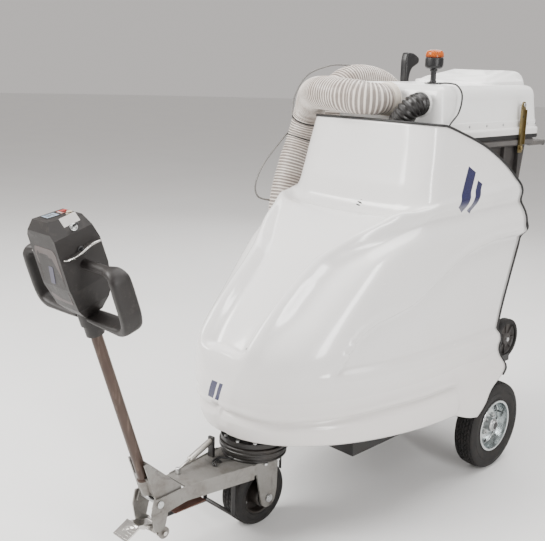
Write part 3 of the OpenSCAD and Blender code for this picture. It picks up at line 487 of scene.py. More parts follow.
def rings(name, grid, body, look, slot, node=None, caps=True, turns=None, closed=False, **more):
    """A skin over rows of closed rings, with a flat face on each end. closed joins
    the last ring to the first. turns gives U at each ring, with V once round."""
    grid = np.asarray(grid, float)
    n, m = grid.shape[:2]
    faces = cells_of(n, m).tolist()
    uv = None
    if closed:
        faces += [[(n - 1) * m + j, j, (j + 1) % m, (n - 1) * m + (j + 1) % m] for j in range(m)]
    if turns is not None:
        i, j = np.meshgrid(np.arange(n - 1), np.arange(m), indexing="ij")
        u0, u1, v0, v1 = turns[i], turns[i + 1], j / m, (j + 1) / m
        uv = list(np.stack([np.stack([u0, v0], -1), np.stack([u1, v0], -1),
                            np.stack([u1, v1], -1), np.stack([u0, v1], -1)], -2).reshape(-1, 4, 2))
    if caps and not closed:
        faces += [list(range(m - 1, -1, -1)), [(n - 1) * m + j for j in range(m)]]
        if uv is not None:
            uv += [np.zeros((m, 2)), np.zeros((m, 2))]
    return piece(name, grid.reshape(-1, 3), faces, body, look, slot, node, uv, **more)


def smooth_path(points, steps):
    """The smooth curve through the points: cubics whose slope at each point is
    half the chord between its neighbours."""
    p = np.asarray(points, float)
    n = len(p)
    u = np.linspace(0, n - 1, (n - 1) * steps + 1)
    i = np.minimum(u.astype(int), n - 2)
    f = (u - i)[:, None]
    a, b, c, d = p[np.maximum(i - 1, 0)], p[i], p[i + 1], p[np.minimum(i + 2, n - 1)]
    return 0.5 * (2 * b + (c - a) * f + (2 * a - 5 * b + 4 * c - d) * f**2 + (3 * b - a - 3 * c + d) * f**3)


def evenly(path, n):
    """The same path at n points of equal spacing, and its length."""
    s = np.concatenate([[0], np.cumsum(np.linalg.norm(np.diff(path, axis=0), axis=1))])
    t = np.linspace(0, s[-1], n)
    return np.stack([np.interp(t, s, path[:, k]) for k in range(3)], 1), s[-1]


def unit(v):
    return v / np.maximum(np.linalg.norm(v, axis=-1, keepdims=True), 1e-12)


def frames(path, ref):
    """Two directions square to the path at each point, turned by a fixed one."""
    t = unit(np.gradient(path, axis=0))
    u = unit(np.cross(t, np.asarray(ref, float)))
    return u, np.cross(t, u)


def sweep(name, path, section, ref, body, look, slot, node=None, **more):
    """A section carried along a path. section is points (a, b), the same for all
    rings or one set for each: point = path + a * u + b * v."""
    u, v = frames(path, ref)
    section = np.broadcast_to(section, (len(path),) + np.shape(section)[-2:])
    grid = path[:, None] + section[..., :1] * u[:, None] + section[..., 1:] * v[:, None]
    return rings(name, grid, body, look, slot, node, **more)


def circle(n, r=1.0, turn=0.0):
    a = np.arange(n) / n * TAU + turn
    return np.stack([np.cos(a), np.sin(a)], 1) * r


def squircle(n, a, b, power=4.0):
    """A rounded box section: cosine and sine raised to 2 / power, signs kept."""
    t = np.arange(n) / n * TAU + TAU / n / 2
    c, s = np.cos(t), np.sin(t)
    return np.stack([a * np.sign(c) * abs(c) ** (2 / power), b * np.sign(s) * abs(s) ** (2 / power)], 1)


AXES = {"x": ((0, 1, 0), (0, 0, 1), (1, 0, 0)), "y": ((0, 0, 1), (1, 0, 0), (0, 1, 0)),
        "z": ((1, 0, 0), (0, 1, 0), (0, 0, 1))}


def turned(name, profile, centre, axis, body, look, slot, node=None, n=64, shape=None, closed=False, **more):
    """A profile of (radius, distance along the axis) turned round it. shape may
    change the radii: it takes and returns arrays of radius, angle and distance."""
    p = np.asarray(profile, float)
    a = np.arange(n) / n * TAU
    r = np.repeat(p[:, :1], n, 1)
    if shape:
        r = shape(r, np.broadcast_to(a, r.shape), np.repeat(p[:, 1:], n, 1))
    e1, e2, e3 = (np.array(v, float) for v in (AXES[axis] if isinstance(axis, str) else axis))
    grid = np.array(centre) + (r * np.cos(a))[..., None] * e1 + (r * np.sin(a))[..., None] * e2 \
        + p[:, 1][:, None, None] * e3
    return rings(name, grid, body, look, slot, node, closed=closed, **more)


def rounded(profile, radius, k=4):
    """A line of points with its inner corners rounded: each becomes a short
    quadratic curve that starts and ends radius away from it."""
    p = np.asarray(profile, float)
    out = [p[0]]
    for a, b, c in zip(p[:-2], p[1:-1], p[2:]):
        la, lc = np.linalg.norm(a - b), np.linalg.norm(c - b)
        r = min(radius, la * 0.45, lc * 0.45)
        s, e = b + (a - b) / max(la, 1e-9) * r, b + (c - b) / max(lc, 1e-9) * r
        t = np.linspace(0, 1, k)[:, None]
        out.extend((1 - t) ** 2 * s + 2 * t * (1 - t) * b + t**2 * e)
    out.append(p[-1])
    return np.array(out)


def rounded_loop(points, radius, k=4):
    """A closed outline with every corner rounded in the same way."""
    p = np.asarray(points, float)
    q = np.concatenate([p[-1:], p, p[:1]])
    return rounded(q, radius, k)[1:-1]


def inset(loop, d):
    """A closed outline moved inwards by d along its own normals."""
    t = unit(np.roll(loop, -1, 0) - np.roll(loop, 1, 0))
    area = (loop[:, 0] * np.roll(loop[:, 1], -1) - np.roll(loop[:, 0], -1) * loop[:, 1]).sum()
    normal = np.stack([-t[:, 1], t[:, 0]], 1) * np.sign(area)
    return loop + normal * d


def slab(name, outline, low, high, edge, place, body, look, slot, node=None, **more):
    """A flat outline drawn out from low to high with its edges eased by edge.
    place turns arrays of (a, b, height) into points of the frame."""
    q = np.linspace(0, math.pi / 2, 4)
    lift = np.concatenate([low + edge * (1 - np.cos(q)), high - edge * (1 - np.cos(q[::-1]))])
    inward = np.concatenate([edge * (1 - np.sin(q)), edge * (1 - np.sin(q[::-1]))])
    grid = np.stack([np.concatenate([inset(outline, d), np.full((len(outline), 1), h)], 1)
                     for d, h in zip(inward, lift)])
    return rings(name, place(grid), body, look, slot, node, **more)


def box_points(low, high, r, n=6):
    """Rows of rings over a box with rounded edges: a ball of radius r whose
    octants are pulled apart to the corners."""
    low, high = np.array(low, float), np.array(high, float)
    c, half = (low + high) / 2, (high - low) / 2
    r = min(r, half.min() * 0.98)
    tilt = np.concatenate([np.linspace(0.03, math.pi / 2 - 0.02, n), np.linspace(math.pi / 2 + 0.02,
        math.pi - 0.03, n)])
    quarter = np.linspace(0.02, math.pi / 2 - 0.02, n)
    a = np.concatenate([quarter + k * math.pi / 2 for k in range(4)])
    d = np.stack([np.sin(tilt)[:, None] * np.cos(a), np.sin(tilt)[:, None] * np.sin(a),
                  np.cos(tilt)[:, None] + 0 * a], -1)
    return c + np.sign(d) * (half - r) + r * d


def block(name, low, high, r, body, look, slot, node=None, place=None, **more):
    """A box with rounded edges, put through place if it isn't square to the axes."""
    grid = box_points(low, high, r)
    return rings(name, place(grid) if place else grid, body, look, slot, node, **more)


def joined(name, parts, node=None, body=None):
    """Several pieces of one body made into a single object."""
    first = parts[0]
    mesh = bmesh.new()
    materials = []
    for p in parts:
        start = len(mesh.faces)
        for m in p.data.materials:
            if m not in materials:
                materials.append(m)
        slots = [materials.index(m) for m in p.data.materials]
        mesh.from_mesh(p.data)
        mesh.faces.ensure_lookup_table()
        for f in mesh.faces[start:]:
            f.material_index = slots[f.material_index]
    data = bpy.data.meshes.new(name)
    mesh.to_mesh(data)
    mesh.free()
    for m in materials:
        data.materials.append(m)
    for p in parts[1:]:
        bpy.data.objects.remove(p)
    old = first.data
    first.data = data
    bpy.data.meshes.remove(old)
    first.name = name
    return first


def softened(node, look, body, width=0.0015, segments=2, angle=40.0):
    """A copy of a node's mesh, merged and with its sharp edges eased."""
    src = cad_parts[node]
    bm = bmesh.new()
    bm.from_mesh(src.data)
    bmesh.ops.remove_doubles(bm, verts=bm.verts, dist=1e-5)
    bmesh.ops.dissolve_limit(bm, angle_limit=math.radians(0.6), verts=bm.verts, edges=bm.edges)
    mesh = bpy.data.meshes.new(node + "_look")
    bm.to_mesh(mesh)
    bm.free()
    mesh.polygons.foreach_set("use_smooth", np.ones(len(mesh.polygons), bool))
    mesh.materials.clear()
    mesh.materials.append(finish(look))
    mesh.set_sharp_from_angle(angle=math.radians(angle))
    obj = bpy.data.objects.new(node + "_look", mesh)
    bpy.context.scene.collection.objects.link(obj)
    bevel = obj.modifiers.new("eased_edges", "BEVEL")
    bevel.width, bevel.segments, bevel.limit_method = width, segments, "ANGLE"
    bevel.angle_limit, bevel.use_clamp_overlap = math.radians(angle), True
    bevel.harden_normals = True
    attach(obj, body)
    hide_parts(node)
    return obj


def design(points):
    """Points given from the rear axle's middle, in millimetres, put in the frame."""
    return np.asarray(points, float) * 0.001 + np.array([0, AY, 0])


LEAN = math.radians(17.4)
FOOT = np.array([0, AY - 1.617, 0.276])
HEAD_UP = 0.763


def leaned(points):
    """Points of the upright tiller head, from the tube's top, leaned into place."""
    p = np.asarray(points, float)
    y, z = p[..., 1], p[..., 2] + HEAD_UP
    c, s = math.cos(LEAN), math.sin(LEAN)
    return np.stack([p[..., 0], y * c - z * s, y * s + z * c], -1) + FOOT


def on_top(points):
    """Points over the head's sloping top face: x, y along it and height off it."""
    p = np.asarray(points, float)
    t = -math.atan2(16, 110)
    y, z = p[..., 1] + 0.058, p[..., 2]
    return leaned(np.stack([p[..., 0], -0.058 + y * math.cos(t) - z * math.sin(t),
                            0.330 + y * math.sin(t) + z * math.cos(t)], -1))


def on_chamfer(points, u=0.74, y0=0.006):
    """Points over the head's left chamfer: down the slope, along Y and off it."""
    p = np.asarray(points, float)
    a = math.atan2(50, 35)
    return leaned(np.stack([0.041 + u * 0.035 + p[..., 0] * math.cos(a) + p[..., 2] * math.sin(a),
                            y0 + p[..., 1],
                            0.330 - 0.050 * u - p[..., 0] * math.sin(a) + p[..., 2] * math.cos(a)], -1))


# ---------------------------------------------------------------- the shell
ROWS = np.array([
    [412, -1262, 20, 444, -450, 350, -276], [462, -1288, 20, 455, -450, 400, -240],
    [530, -1310, 20, 450, -470, 450, -190], [600, -1322, 30, 440, -500, 505, -78],
    [680, -1312, 50, 430, -520, 575, -88], [760, -1282, 70, 420, -550, 655, -74],
    [840, -1222, 80, 410, -580, 755, -34], [920, -1142, 90, 402, -600, 865, 18],
    [1000, -1047, 100, 396, -620, 985, 72], [1080, -950, 120, 388, -620, 1080, 118],
    [1140, -866, 140, 381, -600, 1150, 130], [1180, -780, 170, 374, -560, 1210, 114],
    [1206, -694, 195, 366, -520, 1270, 78], [1230, -622, 215, 358, -500, 1330, 20],
    [1320, -594, 210, 346, -485, 1390, -62], [1430, -568, 195, 334, -475, 1460, -200],
    [1550, -545, 180, 322, -450, 1530, -408]], float) / 1000


def ramp(x, low, high):
    """0 below low, 1 above high, a smooth cubic between."""
    t = np.clip((x - low) / (high - low), 0, 1)
    return t * t * (3 - 2 * t)


def bell(x, width):
    return np.exp(-((x / width) ** 2))


def spread(x, density, n):
    """n values over x, closer together where density is greater."""
    total = np.concatenate([[0], np.cumsum(density((x[1:] + x[:-1]) / 2) * np.diff(x))])
    return np.interp(np.linspace(0, total[-1], n), total, x)


def shell_skin(nr, nc):
    """The shell's outside, and the row and column numbers of each point. Rows go
    from lip to top edge. Each row is flat across the nose, turns by a quarter
    ellipse and runs straight back, and lifts with the square of its column."""
    r = spread(np.linspace(0, 16, 641), lambda v: 0.7 + 1.3 * bell(v - 3.6, 2.1) + 0.7 * bell(v - 12.2, 1.2), nr)
    t = spread(np.linspace(-1, 1, 801), lambda v: 0.8 + 1.1 * bell(abs(v) - 0.24, 0.20), nc)
    i = np.minimum(r.astype(int), 15)
    f = (r - i)[:, None]
    a, b, c, d = ROWS[np.maximum(i - 1, 0)], ROWS[i], ROWS[i + 1], ROWS[np.minimum(i + 2, 16)]
    w = 0.5 * (2 * b + (c - a) * f + (2 * a - 5 * b + 4 * c - d) * f**2 + (3 * b - a - 3 * c + d) * f**3)
    w = w[:, None, :]
    s, q = np.sign(t)[None], abs(t)[None]
    turn = math.pi / 2 * np.clip((q - 0.2) / 0.5, 0, 1)
    x = np.where(q < 0.2, w[..., 2] * q / 0.2, w[..., 2] + (w[..., 3] - w[..., 2]) * np.sin(turn))
    y = np.where(q < 0.7, w[..., 4] - (w[..., 4] - w[..., 1]) * np.cos(turn),
                 w[..., 4] + (w[..., 6] - w[..., 4]) * (q - 0.7) / 0.3)
    z = w[..., 0] + (w[..., 5] - w[..., 0]) * q * q
    return np.stack([s * x, y + 0 * x, z], -1), np.broadcast_to(r[:, None], x.shape), np.broadcast_to(q, x.shape)


def shell_relief(p, r, t):
    """How far the moulded shape stands off the plain skin, in metres: a sunken
    trough between two rounded ridges down the nose, hollows outside them, a
    scooped panel on each flank, a groove over the lip and a flared wheel arch."""
    s = bpy.context.scene.shell_sizes
    x, y, z = abs(p[..., 0]), p[..., 1], p[..., 2]
    ridge_x = np.interp(r, [0, 3.5, 5, 6, 7, 8, 8.7, 9.3, 10, 10.8, 11.5, 12.2, 13],
                        [0.09, 0.10, 0.120, 0.128, 0.135, 0.143, 0.158, 0.190, 0.232, 0.268, 0.300, 0.335, 0.37])
    along = ramp(r, 3.6, 5.4) * (1 - ramp(r, 11.6, 12.8))
    across = x - ridge_x
    d = s.ridge * along * bell(across - 0.004, 0.034)
    inner = ramp(ridge_x - x, 0.000, 0.040)
    trough = ramp(r, 4.70, 5.15) * (1 - ramp(r, 9.4, 11.8))
    d -= s.trough * trough * inner
    d -= s.hollow * ramp(r, 5.0, 7.2) * (1 - ramp(r, 10.8, 11.9)) * bell(across - 0.088, 0.056)
    # rolled step between the hood's shelf and the upright wall
    d -= 0.016 * bell(r - 12.5, 0.60) * (1 - ramp(x, 0.25, 0.34))
    d += 0.010 * bell(r - 11.55, 0.45) * (1 - ramp(x, 0.30, 0.36)) * ramp(x, 0.05, 0.20)
    # scooped flank panel
    top = np.interp(y, [-1.06, -1.011, -0.98, -0.95, -0.918, -0.858, -0.772, -0.676, -0.56, -0.462, -0.40,
        -0.308, -0.20, -0.11, 0.15],
                    [0.665, 0.715, 0.761, 0.80, 0.827, 0.856, 0.876, 0.900, 0.948, 0.993, 1.018, 1.046, 1.064,
                        1.074, 1.071])
    low = np.interp(y, [-1.1, -1.009, -0.789, -0.605, -0.353, -0.069, 0.1], [0.678, 0.676, 0.674, 0.672, 0.664,
        0.655, 0.65])
    flank = ramp(x, 0.24, 0.31) * ramp(t, 0.40, 0.50)
    d -= s.scoop * flank * ramp(top - z, -0.002, 0.017) * ramp(z - low, -0.002, 0.024)
    d += 0.30 * s.scoop * flank * bell(z - top - 0.012, 0.012)
    d += 0.35 * s.scoop * flank * bell(z - low + 0.022, 0.020)
    # groove over the lip, and the lip turned out under it
    line = np.interp(t, [0, 0.10, 0.26, 0.34, 0.44, 0.575, 0.735, 0.80, 1], [2.10, 2.10, 1.90, 1.72, 1.86, 2.22,
        2.42, 2.46, 2.4])
    fade = 1 - ramp(t, 0.72, 0.80)
    d -= s.groove * fade * bell(r - line, 0.15)
    d += 0.35 * s.groove * fade * bell(r - line - 0.40, 0.20)
    d += 0.60 * s.groove * fade * ramp(line - r, 0.12, 0.45)
    d -= 0.9 * s.groove * fade * (1 - ramp(r, 0.0, 0.45))
    # arch flare towards the wheel cut-out
    edge = ramp(t, 0.78, 0.93) * (1 - ramp(r, 3.1, 4.3))
    d += s.flare * edge - 0.35 * s.flare * bell(t - 0.79, 0.04) * (1 - ramp(r, 2.5, 4.5))
    return d


def shell_pieces():
    p, r, t = shell_skin(200, 234)
    normal = unit(np.cross(np.gradient(p, axis=1), np.gradient(p, axis=0)))
    if (normal[100, 200, 0]) < 0:
        normal = -normal
    p = p + normal * shell_relief(p, r, t)[..., None]
    q = p + np.array([0, AY, 0])
    faces = cells_of(q.shape[0], q.shape[1], False)
    obj = piece("shell_moulding", q.reshape(-1, 3), faces, "chassis", "shell", "shell_white", "body_shell",
        angle=70.0)
    wall = obj.modifiers.new("wall", "SOLIDIFY")
    wall.thickness, wall.offset = bpy.context.scene.shell_sizes.wall, -1.0
    # rubber edging round the free edge, its lip gripping the wall
    edge = np.concatenate([p[36:-1, 0], p[-1, :], p[-2:35:-1, -1]])
    path, _ = evenly(smooth_path(edge[::3], 3), 420)
    tangent = unit(np.gradient(path, axis=0))
    mid = np.array([0, -0.40, 1.0])
    out = unit(path - np.where(abs(path[:, :1]) < 2, path * np.array([1, 0, 0]) + np.array([0, -0.47, 0.95]), mid))
    out = unit(out - tangent * (out * tangent).sum(1, keepdims=True))
    side = np.cross(tangent, out)
    a = circle(12)
    section = np.stack([a[:, 0] * 0.0052 + 0.0030, a[:, 1] * 0.0056], 1)
    grid = path[:, None] + out[:, None] * section[None, :, :1] + side[:, None] * section[None, :, 1:]
    rings("shell_edging", grid + np.array([0, AY, 0]), "chassis", "rubber", "black_rubber", "shell_trim")
    # a small plug in the trough's end wall
    turned("trough_plug", [(0.0001, 0.004), (0.003, 0.0036), (0.0045, 0.002), (0.0045, -0.004), (0.0001, -0.004)],
           nearest(q, (0.078, AY - 1.262, 0.775)), ((1, 0, 0), (0, 0.54, -0.84), (0, -0.84, -0.54)),
           "chassis", "rubber", "black_rubber", n=20)


def nearest(grid, point):
    """The grid's own point that lies nearest to a given one."""
    flat = grid.reshape(-1, 3)
    return flat[np.linalg.norm(flat - np.array(point), axis=1).argmin()]


# ---------------------------------------------------------------- the lid
def plan_ring(w, l, rc, n=24):
    """A rounded rectangle of full width w and length l, corner radius rc."""
    q = np.linspace(0.001, math.pi / 2 - 0.001, n)
    a = np.concatenate([q + k * math.pi / 2 for k in range(4)])
    c, s = np.cos(a), np.sin(a)
    return np.stack([np.sign(c) * (w / 2 - rc) + rc * c, np.sign(s) * (l / 2 - rc) + rc * s], 1)


def stacked(profile, w, l, rc, cx, cy, n=24, least=0.004):
    """Rounded rectangles stacked by a profile of (inset, height)."""
    return np.stack([np.concatenate([plan_ring(w - 2 * d, l - 2 * d, max(rc - d, least), n) + [cx, cy],
                                     np.full((4 * n, 1), h)], 1) for d, h in profile])


def lid_pieces():
    """The lid: an upright flange with a beaded edge, drafted walls with large
    rounded tops, a slightly crowned roof and a ribbed dome behind."""
    z0, cy = 1.484, AY - 0.032
    outer = rounded([(0.000, 0.0), (0.0, 0.022), (0.004, 0.028), (0.0105, 0.030), (0.0125, 0.058), (0.0155, 0.060),
                     (0.030, 0.165), (0.040, 0.195), (0.070, 0.2065), (0.14, 0.2095), (0.26, 0.210)], 0.006, 4)
    outer = np.concatenate([outer[:-14], smooth_path([[d, h, 0] for d, h in
             ((0.0275, 0.150), (0.031, 0.172), (0.040, 0.192), (0.058, 0.204), (0.090, 0.2085), (0.16, 0.210),
                 (0.27, 0.210))], 6)[:, :2]])
    inner = [(0.266, 0.206), (0.09, 0.204), (0.060, 0.198), (0.045, 0.186), (0.036, 0.165), (0.022, 0.056),
        (0.012, 0.026), (0.006, 0.020), (0.006, 0.0)]
    profile = np.concatenate([outer, np.array(inner)]) + [0, z0]
    grid = stacked(profile, 0.580, 0.796, 0.066, 0, cy)
    rings("lid_moulding", grid, "lid", "lid", "lid_white", "lid_shell", closed=True, angle=50.0)
    # ribbed dome: slanted steps across its top
    prof = smooth_path([[d, h, 0] for d, h in ((0.0, 0.190), (0.004, 0.215), (0.012, 0.240), (0.026, 0.256),
        (0.048, 0.265),
                        (0.080, 0.2685), (0.13, 0.270), (0.156, 0.270))], 6)[:, :2] + [0, z0]
    dome = stacked(prof, 0.430, 0.320, 0.060, 0, AY + 0.185)
    x, y = dome[..., 0], dome[..., 1] - (AY + 0.185)
    diag = (x * 0.80 - y * 0.60)
    saw = (diag / 0.105 + 0.15) % 1.0
    rib = ramp(saw, 0.0, 0.80) * (1 - ramp(saw, 0.84, 1.0))
    core = ramp(dome[..., 2], z0 + 0.215, z0 + 0.262)
    dome[..., 2] -= 0.027 * (1 - rib) * core + 0.030 * ramp(-y, -0.02, 0.15) * core
    rings("lid_dome", dome, "lid", "lid", "lid_white", angle=60.0)
    # gasket, rivets and hinge lugs
    grid = stacked(np.array([(0.0, 0.0), (-0.003, 0.003), (-0.003, 0.015), (0.0, 0.0185), (0.020, 0.0185),
        (0.023, 0.009), (0.020, 0.0)]) + [0, 1.4655],
                   0.574, 0.698, 0.060, 0, AY + 0.014)
    rings("lid_seal", grid, "lid", "rubber", "gasket_black", "lid_gasket", closed=True)
    heads = []
    for sx in (-1, 1):
        for k, y in enumerate((-0.35, -0.22, -0.09, 0.04, 0.24, 0.31)):
            heads.append(turned(f"rivet_{sx}_{k}", [(0.0055, -0.002), (0.0055, 0.0005), (0.004, 0.0022),
                (0.0012, 0.0028)],
                                (sx * 0.2785, AY + y, z0 + 0.044), ((0, 1, 0), (0, 0, sx), (sx, 0, 0)), "lid",
                                    "zinc", "lid_white", n=12))
    joined("flange_rivets", heads)
    lugs = [turned(f"lug_{s}", rounded([(0.0065, 0.0), (0.012, 0.0), (0.012, 0.015), (0.0065, 0.015)], 0.002, 3),
                   (0.225 if s > 0 else -0.240, AY - 0.418, 1.492), "x", "lid", "lid", "lid_white", closed=True,
                       n=32) for s in (-1, 1)]
    joined("lid_hinge_lugs", lugs)


def cuff_pieces():
    """Ribbed cream ring for the suction hose; thin pale clamp for the fan hose."""
    prof = [(0.058, -0.034), (0.063, -0.034)]
    for k in range(5):
        y = -0.031 + k * 0.0052
        prof += [(0.0630, y), (0.0655, y + 0.0014), (0.0655, y + 0.0030), (0.0630, y + 0.0044)]
    prof += [(0.063, -0.006), (0.0685, -0.0055), (0.0685, -0.0008), (0.058, -0.0008)]
    turned("hose_socket_ring", prof, design([22, -430, 1630]), "y", "lid", "cream", "cuff_cream", "inlet_cuff",
        n=96, closed=True)
    prof = rounded([(0.044, -0.008), (0.049, -0.008), (0.0495, -0.0035), (0.0525, -0.0030), (0.0525, -0.0006),
        (0.044, -0.0006)], 0.001, 3)
    turned("fan_socket_ring", prof, design([186, -430, 1618]), "y", "lid", "white_ring", "cuff_cream",
        "fan_cuff", n=80, closed=True)


def beacon_pieces():
    """Beacon: post with a foot plate, a black cup and an amber cap cut with prisms."""
    at = design([150, -311, 1694])
    turned("beacon_stem", rounded([(0.0001, 0.0), (0.0125, 0.0), (0.0140, 0.010), (0.0115, 0.013), (0.0110,
        0.046), (0.0150, 0.0500), (0.0150, 0.0575), (0.0001, 0.058)], 0.0015, 3),
           at, "z", "lid", "wand", "beacon_black", "beacon_post", n=28)
    block("beacon_foot", at + [-0.030, -0.016, 0.0002], at + [0.030, 0.016, 0.0044], 0.0015, "lid", "wand",
        "beacon_black")
    nuts = [turned(f"foot_nut_{s}", rounded([(0.0001, 0.0), (0.0065, 0.0), (0.0065, 0.004), (0.0001, 0.0045)],
        0.0006, 3),
                   at + [s * 0.0215, 0, 0.0044], "z", "lid", "zinc", "beacon_black", n=6,
                       angle=25) for s in (-1, 1)]
    joined("foot_nuts", nuts)
    at = design([150, -311, 1752])
    turned("beacon_cup", rounded([(0.0001, 0.0), (0.026, 0.0), (0.034, 0.005), (0.0365, 0.011), (0.0365, 0.041),
        (0.0340, 0.0438), (0.0001, 0.0438)], 0.003, 4),
           at, "z", "lid", "wand", "beacon_black", "beacon_base", n=48)

    def prisms(r, a, h):
        return r * (1 - 0.035 * (1 - abs(np.cos(a * 4))) * ramp(h, 0.002,
            0.010)) - 0.0008 * ((a * 24 / TAU) % 1 > 0.5) * ramp(h, 0.004, 0.010) * (r > 0.02)
    turned("beacon_cap", rounded([(0.0001, 0.0003), (0.0362, 0.0003), (0.0362, 0.012), (0.0345, 0.020), (0.0300,
        0.0268), (0.018, 0.0300), (0.0001, 0.0306)], 0.003, 4),
           design([150, -311, 1796]), "z", "lid", "amber", "beacon_amber", "beacon_lens", n=96, shape=prisms)


# ---------------------------------------------------------------- latches
def latch_pieces(side):
    """Folded strap latch: a long plate with eased corners, a fold down each edge,
    a pivot above and a hooked keeper below."""
    s = 1 if side == "left" else -1
    body = "latch_l" if s > 0 else "latch_r"
    x0 = 0.278
    loop = rounded_loop([(-0.019, 1.405), (0.019, 1.405), (0.019, 1.600), (0.012, 1.624), (-0.012, 1.624),
        (-0.019, 1.600)], 0.006, 4)

    def place(g):
        return np.stack([s * (x0 + g[..., 2]), AY + 0.172 + g[..., 0], g[..., 1]], -1)
    parts = [slab(f"strap_{side}", loop, 0.0135, 0.0168, 0.0008, place, body, "brass", "latch_brass",
        f"latch_{side}")]
    for k in (-1, 1):
        fold = rounded_loop([(k * 0.0185 - 0.0014, 1.440), (k * 0.0185 + 0.0005, 1.440), (k * 0.0185 + 0.0005,
            1.590), (k * 0.0185 - 0.0014, 1.590)], 0.0005, 2)
        parts.append(slab(f"fold_{side}_{k}", fold, 0.0150, 0.0250, 0.0004, place, body, "brass", "latch_brass"))
    ax = ((0, 1, 0), (0, 0, s), (s, 0, 0))
    parts.append(turned(f"latch_pin_{side}", rounded([(0.0001, 0.0), (0.006, 0.0), (0.006, 0.018), (0.0085,
        0.0185), (0.0085, 0.0225), (0.005, 0.0240), (0.0001, 0.0240)], 0.001, 3),
                        (s * x0, AY + 0.172, 1.610), ax, body, "zinc", "latch_brass", n=24))
    parts.append(turned(f"latch_roll_{side}", rounded([(0.0001, 0.0168), (0.009, 0.0168), (0.009, 0.024),
        (0.0065, 0.0268), (0.0001, 0.0270)], 0.001, 3),
                        (s * x0, AY + 0.172, 1.425), ax, body, "brass", "latch_brass", n=24))
    parts.append(turned(f"latch_eye_{side}", rounded([(0.0001, 0.0166), (0.0045, 0.0166), (0.0052, 0.0172),
        (0.0001, 0.0173)], 0.0003, 2),
                        (s * x0, AY + 0.172, 1.560), ax, body, "rubber", "latch_brass", n=20))
    joined(f"latch_{side}_look", parts)


# ---------------------------------------------------------------- the bin
def bin_pieces():
    """The bin: tapering walls pressed with shallow panels, a stiff rolled rim with
    a cross-bar at the rear, and a step in the floor over its axle."""
    cy = AY - 0.012
    lv = np.array([0.474, 0.480, 0.50, 0.54, 0.60, 0.70, 0.80, 0.90, 1.00, 1.10, 1.20, 1.30, 1.38, 1.425, 1.4345])
    u = (lv - 0.473) / (1.436 - 0.473)
    w, l = 0.430 + (0.530 - 0.430) * u, 0.500 + (0.640 - 0.500) * u
    out = [np.concatenate([plan_ring(a, b, 0.060) + [0, cy], np.full((96, 1), h)], 1) for a, b, h in zip(w, l, lv)]
    for a, b, h in ((0.572, 0.682, 1.4355), (0.580, 0.690, 1.439), (0.580, 0.690, 1.458), (0.572, 0.682, 1.4648),
                    (0.540, 0.650, 1.4648), (0.522, 0.632, 1.456), (0.522, 0.630, 1.43)):
        out.append(np.concatenate([plan_ring(a, b, 0.060) + [0, cy], np.full((96, 1), h)], 1))
    inn = lv[::-1][1:]
    for h in inn[:-2]:
        k = (h - 0.473) / (1.436 - 0.473)
        out.append(np.concatenate([plan_ring(0.422 + 0.1 * k, 0.492 + 0.138 * k, 0.056) + [0, cy], np.full((96,
            1), max(h, 0.482))], 1))
    grid = np.array(out)
    z = grid[..., 2]
    near = ramp(z, 0.52, 0.60) * (1 - ramp(z, 1.34, 1.40))
    k = len(lv)
    # shallow upright panels pressed into the outside of each wall
    rel = grid[:k] - [0, cy, 0]
    flat_x = ramp(0.20 - abs(rel[..., 1]), 0.0, 0.03) * (abs(rel[..., 0]) > abs(w[:, None] / 2 - 0.02))
    wave = 0.004 * near[:k] * ramp(np.cos(rel[..., 1] * TAU / 0.16), 0.0, 0.6) * flat_x
    grid[:k, :, 0] -= np.sign(rel[..., 0]) * wave
    rings("bin_walls", grid, "bin", "bin", "bin_grey", "bin_body", angle=40.0)
    parts = []
    bar, _ = evenly(smooth_path(design([[-262, 440, 1435], [-120, 441, 1435], [0, 441, 1435], [120, 441, 1435],
        [262, 440, 1435]]), 8), 30)
    parts.append(sweep("bin_bar", bar, circle(20, 0.0128), (0, 0, 1), "bin", "bin_rim", "bin_grey"))
    for s in (-1, 1):
        parts.append(block(f"bin_arm_{s}", design([s * 250 - 12, 320, 1425]), design([s * 250 + 12, 447, 1447]),
            0.006, "bin", "bin_rim", "bin_grey"))
    # rolled band round the rim, in a paler copy of the bin plastic
    band = stacked(np.array([(0.0, 0.0), (-0.0008, 0.002), (-0.0008, 0.018), (0.003, 0.0205), (0.010, 0.0205),
        (0.010, 0.0)]) + [0, 1.4405],
                   0.5795, 0.6895, 0.060, 0, cy)
    parts.append(rings("bin_band", band, "bin", "bin_rim", "bin_grey", closed=True))
    for s in (-1, 1):
        for y in (-0.20, -0.06, 0.08, 0.20):
            parts.append(block(f"bin_rib_{s}_{y}", (s * 0.262 - 0.006, cy + y - 0.005, 1.30),
                (s * 0.262 + 0.020, cy + y + 0.005, 1.437), 0.003, "bin", "bin", "bin_grey"))
    parts.append(block("bin_front_foot", design([-180, -230, 443.6]), design([180, -198, 500]), 0.008, "bin",
        "bin", "bin_grey"))
    parts.append(block("bin_axle_case", design([-212, 188, 512]), design([212, 236, 584]), 0.012, "bin", "bin",
        "bin_grey"))
    joined("bin_details", parts)


